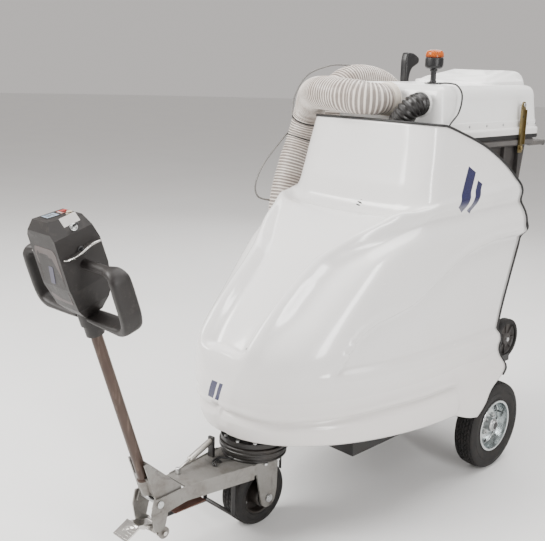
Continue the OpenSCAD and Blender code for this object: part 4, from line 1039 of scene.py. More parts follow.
def bin_wheels():
    """Bin wheels: solid tyre with a shoulder, a dished web with ribs and a hub."""
    for s, side in ((-1, "right"), (1, "left")):
        tread = [(0.0752, -0.020), (0.088, -0.0218), (0.0945, -0.0175), (0.0955, -0.008), (0.0945, -0.006),
            (0.0945, 0.006), (0.0955, 0.008), (0.0945, 0.0175), (0.088, 0.0218), (0.0752, 0.020)]
        web = [(0.0101, -0.020), (0.024, -0.020), (0.028, -0.016), (0.030, -0.007), (0.070, -0.0045), (0.0755,
            -0.012), (0.0770, -0.012),
               (0.0770, 0.012), (0.0755, 0.012), (0.070, 0.0045), (0.030, 0.007), (0.028, 0.016), (0.024,
                   0.020), (0.0101, 0.020)]
        at = (s * 0.281, AY + 0.209, 0.5393)
        body = "bin_wheel_l" if s > 0 else "bin_wheel_r"
        a = turned(f"bin_tyre_{side}", rounded(tread, 0.003, 3), at, "x", body, "tyre", "bin_wheel_black",
            f"bin_wheel_{side}", closed=True, n=80)
        b = turned(f"bin_web_{side}", rounded(web, 0.0015, 3), at, "x", body, "bin", "bin_wheel_black",
            closed=True, n=80)
        spokes = []
        for k in range(8):
            c, d = math.cos(k * TAU / 8), math.sin(k * TAU / 8)

            def place(g, c=c, d=d):
                return np.stack([g[..., 2] + at[0], at[1] + g[..., 0] * c - g[..., 1] * d, at[2] + g[...,
                    0] * d + g[..., 1] * c], -1)
            spokes.append(block(f"spoke_{side}_{k}", (0.027, -0.002, -0.012), (0.0745, 0.002, 0.012), 0.001,
                body, "bin", "bin_wheel_black", place=place))
        joined(f"bin_wheel_{side}_look", [a, b] + spokes)


# ---------------------------------------------------------------- wand and hoses
def wand_pieces():
    """Wand: a tube with a ringed collar, and a pistol-shaped grip above it whose
    flat beak points back."""
    loop = rounded_loop([(62, 1475), (88, 1490), (92, 1600), (84, 1700), (92, 1730), (108, 1752), (160, 1775),
        (160, 1802), (118, 1822), (64, 1826), (54, 1790), (54, 1700), (62, 1630)], 12, 5) / 1000

    def place(g):
        return np.stack([g[..., 2] - 0.412, AY + 0.182 + g[..., 0], g[..., 1]], -1)
    grip = slab("wand_grip_look", loop, -0.0198, 0.0198, 0.010, place, "chassis", "wand", "wand_black",
        "wand_grip")
    ring = turned("wand_collar", rounded([(0.0605, 0.0), (0.066, 0.0), (0.066, 0.012), (0.0625, 0.015), (0.0625,
        0.035), (0.066, 0.038), (0.066, 0.050), (0.0605, 0.050)], 0.002, 3),
                  design([-412, 182, 1470]), "z", "chassis", "wand", "wand_black", closed=True, n=72)
    seam = [block("grip_trigger", design([-424, 236, 1660]), design([-400, 246, 1712]), 0.004, "chassis",
        "rubber", "wand_black")]
    joined("wand_grip_look", [grip, ring] + seam)
    turned("wand_pipe", rounded([(0.056, 0.0), (0.064, 0.0), (0.064, 0.058), (0.060, 0.062), (0.060, 0.950),
        (0.056, 0.950)], 0.002, 3),
           design([-412, 182, 600]), "z", "chassis", "wand", "wand_black", "wand_tube", closed=True, n=64)


HOSE_Y = -464.5
HOSE = [[22, HOSE_Y, 1630], [22, HOSE_Y - 9, 1630], [22, HOSE_Y - 18, 1630], [17, -507, 1631], [2, -530, 1632],
        [-20, -546, 1634], [-50, -556, 1637], [-110, -566, 1640], [-230, -545, 1644], [-346, -474, 1628],
        [-430, -408, 1556], [-468, -408, 1440], [-477, -460, 1300], [-477, -505, 1150], [-476, -500, 1020],
            [-476, -430, 930],
        [-477, -320, 900], [-478, -215, 950], [-479, -170, 1080], [-480, -170, 1250],
        [-480, -205, 1400], [-479, -230, 1520], [-475, -205, 1624], [-464, -115, 1684],
        [-446, 5, 1690], [-424, 120, 1658], [-412, 182, 1590], [-412, 182, 1565], [-412, 182, 1550.5]]
FAN_BEND = [[186 - 30 * (1 - math.cos(math.radians(18 * max(k, 0)))),
    -438.5 - 50 * math.sin(math.radians(18 * max(k, 0))) - (0 if k < 0 else 3),
             1618 - 40 * (1 - math.cos(math.radians(18 * max(k, 0))))] for k in range(-1, 6)]
FAN_RUN = [[150, -491.5, 1570], [126, -490.5, 1538], [100, -490, 1470], [85, -505, 1380], [50, -580, 1200], [8,
    -690, 1040],
           [0, -735, 970], [0, -735, 960], [0, -735, 950.5]]
CABLE = [[-460, -90, 1751.5], [-476, -130, 1758], [-510, -200, 1752], [-540, -310, 1710],
         [-545, -385, 1620], [-520, -425, 1540], [-492, -434, 1490], [-520, -470, 1440],
         [-556, -560, 1320], [-562, -605, 1230], [-560, -590, 1170], [-537.5, -530, 1150]]
LEAD = [[180.4, -311, 1697.2], [224, -310, 1698.5], [266, -311, 1691], [291, -310, 1654], [298, -335, 1590],
        [304, -410, 1530], [306, -425, 1440], [306, -425, 1340]]


def ribbed(name, path, length, radius, pitch, depth, sides, ref, look, slot, node, wire, per=6, helix=True):
    """A hose whose wall swells once each pitch, along a helix: radius minus depth
    times a raised cosine of the turns counted along it less the share of a turn."""
    n = int(length / pitch * per)
    line, length = evenly(path, n)
    turns = np.linspace(0, length / pitch, n)
    v = np.arange(sides) / sides
    phase = turns[:, None] - v[None, :] * helix
    shape = wire(phase % 1.0)
    r = (radius(np.linspace(0, 1, n)) if callable(radius) else radius + 0 * turns)[:, None] - depth * (1 - shape)
    a = v * TAU
    section = np.stack([r * np.cos(a), r * np.sin(a)], -1)
    return sweep(name, line, section, ref, None, look, slot, node, turns=turns, angle=80.0)


def hose_pieces():
    s = bpy.context.scene.hose_sizes
    full = smooth_path(design(HOSE), 12)
    path, length = evenly(full, 260)
    hose = ribbed("suction_hose_look", full, length, lambda u: 0.0625 + 0.0065 * ramp(u, 0.0,
        0.05) - 0.0085 * ramp(u, 0.90, 0.99), s.pitch, s.depth, 40, (1, 0, -1), "clear_hose", "hose_clear",
                  "suction_hose", lambda f: bell(f - 0.5, 0.20), 5)
    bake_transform(hose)
    full = np.concatenate([smooth_path(design(FAN_BEND), 8)[:-1], smooth_path(design(FAN_RUN), 10)])
    path, length = evenly(full, 120)
    fan = ribbed("fan_hose_look", full, length, 0.0458, s.fan_pitch, s.fan_depth, 40, (0.8, 0.1, -0.6),
        "ribbed_hose", "hose_black",
                 "fan_hose", lambda f: (0.5 + 0.5 * np.cos(TAU * f)) ** 0.7, 9, False)
    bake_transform(fan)
    for name, route, look, slot, ref in (("control_cable", CABLE, "cable", "cable_grey", (1, 0, 0)),
                                         ("beacon_cable", LEAD, "rubber", "black_rubber", (0.3, 1, 0.2))):
        path, length = evenly(smooth_path(design(route), 12), 160)
        size = 0.0040 if name == "control_cable" else 0.0034
        lead = sweep(name + "_look", path, circle(12, size), ref,
            "chassis" if name == "control_cable" else None, look, slot, name)
        if name == "beacon_cable":
            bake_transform(lead)
    # dark ties drawn tight round the hose, and a band at the wand
    ties = []
    path, length = evenly(smooth_path(design(HOSE), 12), 600)
    for k, share in enumerate((0.235, 0.268, 0.775, 0.985)):
        i = int(share * 599)
        t = unit(path[i + 1] - path[i - 1])
        u = unit(np.cross(t, [1, 0, -1]))
        v = np.cross(t, u)
        w = 0.0680 if k < 3 else 0.0610
        ties.append(turned(f"tie_{k}", rounded([(w, -0.0026), (w + 0.0024, -0.0026), (w + 0.0024, 0.0026), (w,
            0.0026)], 0.0006, 3),
                           path[i], (u, v, t), "chassis", "rubber", "black_rubber", closed=True, n=60))
    joined("hose_ties", ties)


# ---------------------------------------------------------------- wheels
def tread_blocks(rows, count, depth, half, top):
    """Rubber blocks: the radius drops by depth in grooves round the tyre, and in
    slots that slant across it and step by half a block from row to row."""
    def shape(r, a, w):
        u = (w + half) / (2 * half) * rows
        row = np.floor(u)
        lane = abs((u % 1) - 0.5)
        turn = (a / TAU * count + 0.5 * (row % 2) + 0.22 * np.cos(u * math.pi)) % 1
        slot = 1 - ramp(abs(turn - 0.5), 0.06, 0.13)
        groove = ramp(lane, 0.33, 0.42)
        here = ramp(r, top - 0.030, top - 0.020) * (abs(w) <= half)
        return r - depth * here * np.maximum(slot, groove)
    return shape


def rear_wheels():
    """Rear wheels: a block-tread tyre with a lettering-free sidewall and ribs, a
    dished rim with slots, and a hub with four nuts and a cap."""
    s = bpy.context.scene.wheel_sizes
    for side, sx in (("left", 1), ("right", -1)):
        body = f"rear_wheel_{side}"
        at = (sx * 0.353, AY, 0.2)
        ax = ((0, 1, 0), (0, 0, 1), (sx, 0, 0))
        tread = [(0.200 - 0.0035 * (w / 0.036) ** 2, w) for w in np.linspace(-0.036, 0.036, 46)]
        outer = tread + [(0.1945, 0.0395), (0.1900, 0.0425), (0.183, 0.0450), (0.174, 0.0468), (0.166, 0.0472),
            (0.1655, 0.0462), (0.158, 0.0464), (0.1575, 0.0472),
                         (0.146, 0.0462), (0.134, 0.0432), (0.1265, 0.0408), (0.1255, 0.0420), (0.1205, 0.0415),
                             (0.1135, 0.0385)]
        left = [(r, -w) for r, w in outer[46:]][::-1]
        prof = left + outer + [(0.1125, 0.034), (0.118, 0.030), (0.150, 0.030), (0.150, -0.030), (0.118,
            -0.030), (0.1125, -0.034)]
        turned(f"rear_tyre_{side}_look", prof, at, ax, body, "tyre", "tyre_black", f"rear_tyre_{side}",
            n=s.tyre_steps,
               shape=tread_blocks(5, s.block_count, s.tread_depth, 0.036, 0.200), closed=True, angle=32.0)
        rim = [(0.1075, 0.0435), (0.1110, 0.0452), (0.1160, 0.0452), (0.1185, 0.0430), (0.1175, 0.0405),
            (0.1135, 0.0395), (0.1105, 0.036),
               (0.1105, -0.036), (0.1135, -0.0395), (0.1175, -0.0405), (0.1185, -0.0430), (0.1160, -0.0452),
                   (0.1110, -0.0452), (0.1075, -0.0435),
               (0.1070, -0.030), (0.1020, -0.012), (0.0960, -0.004), (0.0800, -0.0005), (0.0640, 0.0035),
                   (0.0330, 0.0035), (0.0305, 0.0040), (0.0305, 0.0075), (0.0345, 0.0075),
               (0.0655, 0.0075), (0.0805, 0.0040), (0.0970, 0.0000), (0.1040, -0.006), (0.1068, -0.002),
                   (0.1070, 0.028)]
        r1 = turned(f"rim_{side}", rounded(rim + rim[:1], 0.0022, 3)[:-1], at, ax, body, "rim", "rim_zinc",
            f"rear_rim_{side}", closed=True, n=120)
        slots = []
        for k in range(8):
            a = k * TAU / 8
            c, d = math.cos(a), math.sin(a)
            loop = squircle(24, 0.010, 0.0065, 2.4)

            def place(g, c=c, d=d):
                y, z = (0.0855 + g[..., 0]) * c - g[..., 1] * d, (0.0855 + g[..., 0]) * d + g[..., 1] * c
                return np.stack([at[0] + sx * (g[..., 2] + 0.0005 + (0.0040 - (0.0855 + g[...,
                    0] - 0.0805) * 0.25)), at[1] + y, at[2] + z], -1)
            slots.append(slab(f"slot_{side}_{k}", loop, -0.004, 0.0006, 0.0003, place, body, "rubber", "rim_zinc"))
        joined(f"rim_{side}_look", [r1] + slots)
        hub = [(0.0101, -0.034), (0.030, -0.034), (0.030, -0.012), (0.058, -0.010), (0.058, -0.002), (0.0302,
            -0.002), (0.0302, 0.034),
               (0.0275, 0.038), (0.0225, 0.040), (0.0215, 0.046), (0.0165, 0.047), (0.0101, 0.047)]
        parts = [turned(f"hub_{side}", rounded(hub, 0.002, 3), at, ax, body, "zinc", "zinc", f"rear_hub_{side}",
            closed=True, n=56)]
        parts.append(turned(f"cap_{side}", rounded([(0.0001, 0.030), (0.0185, 0.030), (0.0185, 0.0465), (0.0150,
            0.0480), (0.0001, 0.0484)], 0.002, 4),
                            at, ax, body, "frame", "zinc", n=36))
        for k in range(4):
            a = (k + 0.5) * TAU / 4
            y, z = 0.045 * math.cos(a), 0.045 * math.sin(a)
            parts.append(turned(f"nut_{side}_{k}", rounded([(0.0001, 0.0), (0.0105, 0.0), (0.0105, 0.0065),
                (0.0090, 0.0085), (0.0001, 0.0088)], 0.0008, 3),
                                (at[0] + sx * 0.0078, at[1] + y, at[2] + z), ax, body, "zinc", "zinc", n=6,
                                    angle=25))
            parts.append(turned(f"stud_{side}_{k}", rounded([(0.0001, 0.0), (0.0050, 0.0), (0.0050, 0.0070),
                (0.0042, 0.0078), (0.0001, 0.0079)], 0.0006, 3),
                                (at[0] + sx * 0.0150, at[1] + y, at[2] + z), ax, body, "zinc", "zinc", n=20))
        parts.append(turned(f"valve_{side}", rounded([(0.0001, 0.0), (0.0035, 0.0), (0.0035, 0.018), (0.0001,
            0.019)], 0.0008, 3),
                            (at[0] + sx * 0.004, at[1] + 0.092 * math.cos(0.4), at[2] + 0.092 * math.sin(0.4)),
                                ax, body, "rubber", "zinc", n=12))
        joined(f"hub_{side}_look", parts)


def drive_wheel():
    """Drive wheel: a solid tyre with ribs round its tread and a cast hub."""
    at = design([0, -1120, 130])
    half = [(0.1300 - 0.0010 * (w / 0.034) ** 2, w) for w in np.linspace(-0.034, 0.034, 34)]
    outer = half + [(0.1262, 0.0385), (0.1215, 0.0440), (0.114, 0.0475), (0.104, 0.0479), (0.1035, 0.0468),
        (0.096, 0.0466), (0.0955, 0.0476), (0.086, 0.0470), (0.0825, 0.0440)]
    prof = [(r, -w) for r, w in outer[34:]][::-1] + outer
    turned("drive_tyre_look", prof, at, "x", "drive_wheel", "tyre", "tyre_black", "drive_tyre", n=300,
           shape=tread_blocks(4, 40, 0.0035, 0.034, 0.130), closed=True, angle=32.0)
    hub = [(0.0101, -0.068), (0.040, -0.068), (0.044, -0.064), (0.044, -0.020), (0.050, -0.010), (0.074,
        -0.008), (0.074, -0.040), (0.0815, -0.044),
           (0.0815, 0.044), (0.074, 0.040), (0.074, 0.008), (0.050, 0.010), (0.044, 0.020), (0.044, 0.064),
               (0.040, 0.068), (0.0101, 0.068)]
    parts = [turned("drive_hub_cast", rounded(hub, 0.002, 3), at, "x", "drive_wheel", "casting", "cast_black",
        "drive_hub", closed=True, n=72)]
    for s in (-1, 1):
        for k in range(5):
            a = k * TAU / 5
            parts.append(turned(f"hub_screw_{s}_{k}", rounded([(0.0001, 0.0), (0.0065, 0.0), (0.0065, 0.005),
                (0.0001, 0.006)], 0.0008, 3),
                                at + [s * 0.009, 0.060 * math.cos(a), 0.060 * math.sin(a)], ((0, 1, 0), (0, 0,
                                    s), (s, 0, 0)), "drive_wheel", "zinc", "cast_black", n=6, angle=25))
    joined("drive_hub_look", parts)


# ---------------------------------------------------------------- steering
def steering_pieces():
    softened("steering_bracket", "galvanised", "steering", 0.0018)
    softened("front_guard", "frame", "steering", 0.0012)
    softened("drive_axle", "zinc", "steering", 0.0012)
    softened("tiller_pivot_pin", "zinc", "steering", 0.0015)
    # slewing ring: grooved rim and bolt circle
    c = design([0, -1120, 302])
    lower = [(0.075, 0.0), (0.124, 0.0), (0.127, 0.003), (0.127, 0.008), (0.1235, 0.010), (0.1235, 0.014),
        (0.127, 0.016), (0.127, 0.0255), (0.1245, 0.028),
             (0.0947, 0.028), (0.0947, 0.036), (0.075, 0.036)]
    turned("slewing_lower", rounded(lower, 0.0015, 3), c, "z", "steering", "casting", "cast_black",
        "turntable_lower", closed=True, n=96)
    upper = [(0.080, 0.0115), (0.0952, 0.0115), (0.0952, 0.0003), (0.131, 0.0003), (0.135, 0.0035), (0.135,
        0.010), (0.1315, 0.012), (0.1315, 0.016), (0.135, 0.018),
             (0.135, 0.025), (0.132, 0.028), (0.125, 0.0284), (0.125, 0.0316), (0.080, 0.0316)]
    turned("slewing_upper", rounded(upper, 0.0015, 3), c + [0, 0, 0.028], "z", "chassis", "casting",
        "cast_black", "turntable_upper", closed=True, n=96)
    nuts = []
    for k in range(10):
        a = (k + 0.5) * TAU / 10
        nuts.append(turned(f"ring_nut_{k}", rounded([(0.0001, 0.0), (0.0095, 0.0), (0.0095, 0.007), (0.0075,
            0.0085), (0.0001, 0.0088)], 0.0008, 3),
                           c + [0.105 * math.cos(a), 0.105 * math.sin(a), -0.0168], "z", "steering", "zinc",
                               "cast_black", n=6, angle=25))
    joined("ring_nuts", nuts)
    softened("frame_bolts", "zinc", "chassis", 0.0006)
    # gas spring: pale tube and bright rod, with two ears
    base = design([-38, -1465, 316])
    a = math.radians(8)
    flat = np.array([-math.sin(a), math.cos(a), 0.0])
    sidev = np.array([math.cos(a), math.sin(a), 0.0])
    rise = math.radians(16)
    along = flat * math.cos(rise) + np.array([0, 0, math.sin(rise)])
    ax = (sidev, np.cross(along, sidev) * -1.0, along)
    parts = [turned("spring_tube", rounded([(0.0001, 0.062), (0.009, 0.062), (0.0118, 0.066), (0.0118, 0.184),
        (0.009, 0.189), (0.0001, 0.189)], 0.002, 3), base, ax, "steering", "pale_rod", "bright_steel",
            "gas_spring", n=32),
             turned("spring_rod", rounded([(0.0001, 0.0), (0.005, 0.0), (0.005, 0.066), (0.0001, 0.066)], 0.001,
                 3), base, ax, "steering", "bright", "bright_steel", n=24)]
    for y, half, top, look in ((-0.004, 0.009, 0.010, "zinc"), (0.178, 0.014, 0.068, "frame")):
        def place(g):
            return base + g[..., :1] * sidev + g[..., 1:2] * flat + g[..., 2:] * np.array([0, 0, 1.0])
        parts.append(block(f"spring_ear_{y}", (-half, y, -0.0137), (half, y + 0.012, top), 0.003, "steering",
            look, "bright_steel", place=place))
    joined("gas_spring_look", parts)
    # a dark harness looped over the plate, with its clip
    wire = smooth_path(design([[12, -1236, 306], [2, -1262, 312], [-14, -1290, 318], [-10, -1322, 312], [8,
        -1330, 305.4]]), 8)
    joined("harness", [sweep("harness_a", wire, circle(10, 0.0034), (1, 0, 0.2), "steering", "rubber",
        "frame_black"),
                       sweep("harness_b", wire + [0.010, 0.004, 0.0012], circle(10, 0.0028), (1, 0, 0.2),
                           "steering", "rubber", "frame_black"),
                       block("harness_clip", design([-22, -1300, 302.6]), design([2, -1286, 309]), 0.002,
                           "steering", "frame", "frame_black")])
    # dark red-brown plate between the cheeks, under the tiller
    block("red_brown_plate", design([-45, -1540, 204]), design([45, -1400, 209]), 0.0015, "steering", "plate_red_brown",
        "galvanised")
    # weld beads along the folded flanges
    beads = []
    for s in (-1, 1):
        p, _ = evenly(design([[s * 59, -1486, 303.2], [s * 80, -1350, 303.2], [s * 101, -1222, 303.2]]), 90)
        u, v = frames(p, (0, 0, 1))
        r = 0.0026 + 0.0007 * np.abs(np.sin(np.arange(90) * 1.1))
        grid = p[:, None] + (circle(8)[None, :, :1] * u[:, None] + circle(8)[None, :, 1:] * v[:, None]) * r[:,
            None, None]
        beads.append(rings(f"bead_{s}", grid, "steering", "galvanised", "galvanised"))
    joined("weld_beads", beads)


def pedal_pieces():
    """Pedal: cast boss and arm with a bright pressed tread bolted on."""
    softened("foot_pedal", "bright", "pedal", 0.0020)
    at = design([0, -1692, 200])
    a = math.radians(28)

    def place(g):
        y, z = g[..., 1], g[..., 2]
        return np.stack([g[..., 0], y * math.cos(a) - z * math.sin(a), y * math.sin(a) + z * math.cos(a)], -1) + at
    ribs = [block(f"tread_{k}", (-0.034, -0.054 + k * 0.012, 0.0056), (0.034, -0.049 + k * 0.012, 0.0074),
        0.0007, "pedal", "bright", "bright_steel", place=place) for k in range(5)]
    joined("pedal_treads", ribs)


# ---------------------------------------------------------------- tiller
def tiller_pieces():
    softened("tiller_foot", "galvanised", "tiller", 0.0020)
    up = np.array([0, -math.sin(LEAN), math.cos(LEAN)])
    front = np.array([0, math.cos(LEAN), math.sin(LEAN)])
    turned("tiller_tube_look", rounded([(0.016, 0.060), (0.019, 0.060), (0.019, 0.678), (0.016, 0.678)], 0.001,
        3), FOOT,
           (np.array([1.0, 0, 0]), front, up), "tiller", "tiller", "tiller_brown", "tiller_tube", closed=True,
               n=40)
    # weld collar where the tube leaves its socket
    turned("socket_bead", rounded([(0.0192, 0.088), (0.0235, 0.089), (0.0225, 0.094), (0.0192, 0.098)], 0.001,
        3), FOOT,
           (np.array([1.0, 0, 0]), front, up), "tiller", "tiller", "tiller_brown", closed=True, n=40)


def head_pieces():
    """Tiller head: the moulding's own planes with rounded edges."""
    softened("head_housing", "head", "tiller", 0.0055, 4, 22.0)
    turned("collar_screw", rounded([(0.0001, 0.0), (0.006, 0.0), (0.006, 0.004), (0.0045, 0.0055), (0.0001,
        0.0058)], 0.0008, 3),
           leaned([-0.0295, -0.0180, -0.028]), ((0, 0, 1), (0.52, -0.85, 0), (-0.85, -0.52, 0)), "tiller",
               "zinc", "head_plastic", n=20)

    # brown front panel, with a plain dark mark
    def front(g):
        yl = np.interp(g[..., 1], [0.0, 0.040, 0.120, 0.290], [-0.034, -0.060, -0.0735, -0.0715])
        return leaned(np.stack([g[..., 0], yl - g[..., 2], g[..., 1]], -1))
    loop = rounded_loop([(-0.052, 0.062), (0.052, 0.062), (0.060, 0.100), (0.060, 0.236), (0.050, 0.250),
        (-0.050, 0.250), (-0.060, 0.236), (-0.060, 0.100)], 0.008, 5)
    loop = np.concatenate([np.linspace(loop[i], loop[(i + 1) % len(loop)], 5)[:-1] for i in range(len(loop))])
    slab("front_panel", loop, -0.004, 0.0012, 0.0005, front, "tiller", "panel", "head_plastic")
    mark = rounded_loop([(-0.020, 0.130), (0.004, 0.130), (0.020, 0.190), (-0.004, 0.190)], 0.003, 4)
    slab("panel_mark", mark, 0.0008, 0.0016, 0.0002, front, "tiller", "blue", "head_plastic")


def handle_pieces():
    """D-shaped handles: a round upper arm, a broad flat outer bar and a flared
    lower arm, as one section that changes along a rounded path."""
    n = 28
    for side, sx in (("left", 1), ("right", -1)):
        line = rounded([(0.060, 0.1770), (0.110, 0.1770), (0.2260, 0.1765), (0.2430, 0.1580), (0.2440, 0.0360),
            (0.2330, 0.0010), (0.205, -0.0130), (0.110, -0.0135), (0.030, -0.0130)], 0.024, 9)
        path, _ = evenly(np.stack([line[:, 0], 0 * line[:, 0], line[:, 1]], 1), 104)
        s = np.linspace(0, 1, 104)
        inplane = np.interp(s, [0, 0.05, 0.24, 0.32, 0.42, 0.60, 0.68, 0.78, 1.0], [0.0150, 0.0138, 0.0140,
            0.0165, 0.0160, 0.0160, 0.0150, 0.0115, 0.0105])
        depth = np.interp(s, [0, 0.05, 0.22, 0.34, 0.42, 0.62, 0.70, 0.80, 0.92, 1.0], [0.0165, 0.0150, 0.0155,
            0.0330, 0.0345, 0.0345, 0.0345, 0.0345, 0.0330, 0.0300])
        power = np.interp(s, [0, 0.22, 0.40, 0.65, 0.85, 1], [2.1, 2.2, 3.4, 3.4, 2.6, 2.6])[:, None]
        t = np.arange(n) / n * TAU + math.pi / n
        c, d = np.cos(t)[None], np.sin(t)[None]
        a = inplane[:, None] * np.sign(c) * abs(c) ** (2 / power)
        b = depth[:, None] * np.sign(d) * abs(d) ** (2 / power)
        tan = unit(np.gradient(path, axis=0))
        nor = np.stack([-tan[:, 2], 0 * tan[:, 0], tan[:, 0]], 1)
        grid = path[:, None] + a[..., None] * nor[:, None] + b[..., None] * np.array([0, 1.0, 0])
        grid[..., 0] *= sx
        rings(f"handle_{side}_look", leaned(grid), "tiller", "head", "head_plastic", f"handle_{side}", angle=60.0)


def control_pieces():
    """Screen, red rocker in its surround, beige button, key, plain label and the
    S-shaped speed wings on their shaft."""
    screen = rings("screen_frame", on_top(box_points((-0.0335, -0.0355, -0.001), (0.0075, 0.0095, 0.0018),
        0.0014)), "tiller", "head", "head_plastic", "display_panel")
    glass = rings("screen_glass", on_top(box_points((-0.031, -0.033, 0.0008), (0.005, 0.007, 0.0023), 0.0007)),
        "tiller", "display", "display_blue")
    lines = [rings(f"screen_bar_{k}", on_top(box_points((-0.027, -0.026 + k * 0.009, 0.0020),
        (0.001 - 0.006 * (k % 2), -0.021 + k * 0.009, 0.0026), 0.0003)), "tiller", "battery",
            "display_blue") for k in range(3)]
    joined("screen_look", [screen, glass] + lines)
    # red rocker and its pale surround
    x, y = -0.016, 0.033
    ring = [rings("stop_surround", on_top(box_points((x - 0.016, y - 0.0145, 0.0), (x + 0.016, y + 0.0145,
        0.0022), 0.001)), "tiller", "red_pale", "head_plastic")]
    rocker = box_points((x - 0.0112, y - 0.0085, 0.0038), (x + 0.0112, y + 0.0085, 0.0076), 0.0016)
    rocker[..., 2] -= 0.12 * (x + 0.0112 - rocker[..., 0]) * (rocker[..., 2] > 0.005)
    button = rings("stop_rocker", on_top(rocker), "stop", "red", "button_red", "stop_button")
    stem = rings("stop_stem", on_top(box_points((x - 0.0078, y - 0.006, -0.004), (x + 0.0078, y + 0.006,
        0.0050), 0.001)), "stop", "red", "button_red")
    joined("stop_rocker_look", [button, stem])
    edges = [rings(f"stop_edge_{k}", on_top(box_points(*e, 0.0005)), "tiller", "red", "head_plastic") for k,
        e in enumerate((
        ((x - 0.0162, y - 0.0147, 0.0018), (x - 0.0140, y + 0.0147, 0.0028)), ((x + 0.0140, y - 0.0147, 0.0018),
            (x + 0.0162, y + 0.0147, 0.0028))))]
    joined("stop_surround_look", ring + edges)
    x, y = 0.018, 0.033
    top_ax = [on_top([x, y, 0.0]), on_top([x + 1, y, 0.0]), on_top([x, y + 1, 0.0]), on_top([x, y, 1.0])]
    e = [top_ax[k] - top_ax[0] for k in (1, 2, 3)]
    turned("horn_cap", rounded([(0.0001, -0.004), (0.0060, -0.004), (0.0060, 0.0043), (0.0090, 0.0043), (0.0090,
        0.0068), (0.0072, 0.0082), (0.0001, 0.0076)], 0.0008, 4),
           top_ax[0], tuple(e), "horn", "beige", "button_beige", "horn_button", n=36)
    turned("horn_bezel", rounded([(0.0066, -0.001), (0.0112, -0.001), (0.0112, 0.0016), (0.0098, 0.0026),
        (0.0066, 0.0026)], 0.0006, 3), top_ax[0], tuple(e), "tiller", "beige", "head_plastic", closed=True, n=36)
    # label on the chamfer, and the key with its bow
    rings("side_label_look", on_chamfer(box_points((-0.0165, -0.026, -0.0006), (0.0135, 0.030, 0.0006), 0.0004),
        0.36, 0.006), "tiller", "label", "head_plastic")
    o = on_chamfer([0.0, 0.0, 0.0])
    e = [on_chamfer(v) - o for v in ([1.0, 0, 0], [0, 1.0, 0], [0, 0, 1.0])]
    barrel = turned("key_barrel", rounded([(0.0001, -0.006), (0.0078, -0.006), (0.0078, 0.0022), (0.0062,
        0.0034), (0.0001, 0.0034)], 0.0008, 3), o, tuple(e), "key", "zinc", "head_plastic", "key_switch", n=32)

    def bow(g):
        return o + g[..., 2:] * e[0] + g[..., 0:1] * e[1] + g[..., 1:2] * e[2]
    loop = rounded_loop([(-0.003, 0.002), (0.003, 0.002), (0.0035, 0.009), (0.0088, 0.013), (0.0088, 0.0235),
        (0.004, 0.0258), (-0.004, 0.0258), (-0.0088, 0.0235), (-0.0088, 0.013), (-0.0035, 0.009)], 0.002, 4)
    key = slab("key_bow", loop, -0.0018, 0.0018, 0.0007, bow, "key", "wand", "head_plastic")
    joined("key_look", [barrel, key])
    turned("key_bezel", rounded([(0.0085, -0.0008), (0.0125, -0.0008), (0.0118, 0.0016), (0.0085, 0.0018)],
        0.0005, 3), o, tuple(e), "tiller", "zinc", "head_plastic", closed=True, n=36)
    # speed wings: a rounded blade that follows an S and thins to its ends
    parts = []
    zt = 0.222
    axis = (np.array([0, math.cos(LEAN), math.sin(LEAN)]), np.array([0, -math.sin(LEAN), math.cos(LEAN)]),
        np.array([1.0, 0, 0]))
    parts.append(turned("wing_shaft", rounded([(0.0001, -0.098), (0.0065, -0.0978), (0.009, -0.095), (0.009,
        0.095), (0.0065, 0.0978), (0.0001, 0.098)], 0.001, 3), leaned([0, 0, zt]), axis, "throttle", "wand",
            "bright_steel", "throttle_butterfly", n=28))
    for sx in (-1, 1):
        y = np.linspace(-0.066, 0.066, 61)
        z = zt + 0.001 * (7 * np.sin(y / 0.066 * math.radians(150)) + 1) + 0.0015
        end = 1 - 0.55 * np.abs(y / 0.066) ** 6
        path = np.stack([np.full(61, sx * 0.0895), y, z], 1)
        sec = squircle(20, 0.0103, 0.0042, 3.0)[None] * end[:, None, None]
        tan = unit(np.gradient(path, axis=0))
        nor = np.cross(tan, np.array([1.0, 0, 0]))
        grid = path[:, None] + sec[..., :1] * np.array([1.0, 0, 0]) + sec[..., 1:] * nor[:, None]
        parts.append(rings(f"wing_{sx}", leaned(grid), "throttle", "bright", "bright_steel", angle=60.0))
        parts.append(turned(f"wing_boss_{sx}", rounded([(0.0001, 0.0765), (0.0135, 0.0768), (0.0135, 0.0795),
            (0.0110, 0.0815), (0.0001, 0.0815)], 0.001, 3), leaned([0, 0, zt]),
                            (axis[0], axis[1] * sx, axis[2] * sx), "throttle", "wand", "bright_steel", n=32))
    joined("throttle_look", parts)


# ---------------------------------------------------------------- chassis
CHASSIS = [
    ("main_frame", "frame", "frame_black", 0.003), ("rear_axle", "frame", "frame_black", 0.001),
    ("bin_deck", "frame", "frame_black", 0.0015), ("battery_tray", "frame", "frame_black", 0.0015),
    ("battery_pack", "battery", "battery_grey", 0.005), ("fan_housing", "enamel", "fan_grey", 0.002),
    ("fan_motor", "alloy", "motor_grey", 0.003), ("lid_frame", "frame", "frame_black", 0.002),
    ("lid_hinge_pin", "zinc", "zinc", 0.001), ("ground_strap", "rubber", "black_rubber", 0.001),
    ("wand_holder", "frame", "frame_black", 0.0015), ("bin_axle", "zinc", "zinc", 0.0012),
]


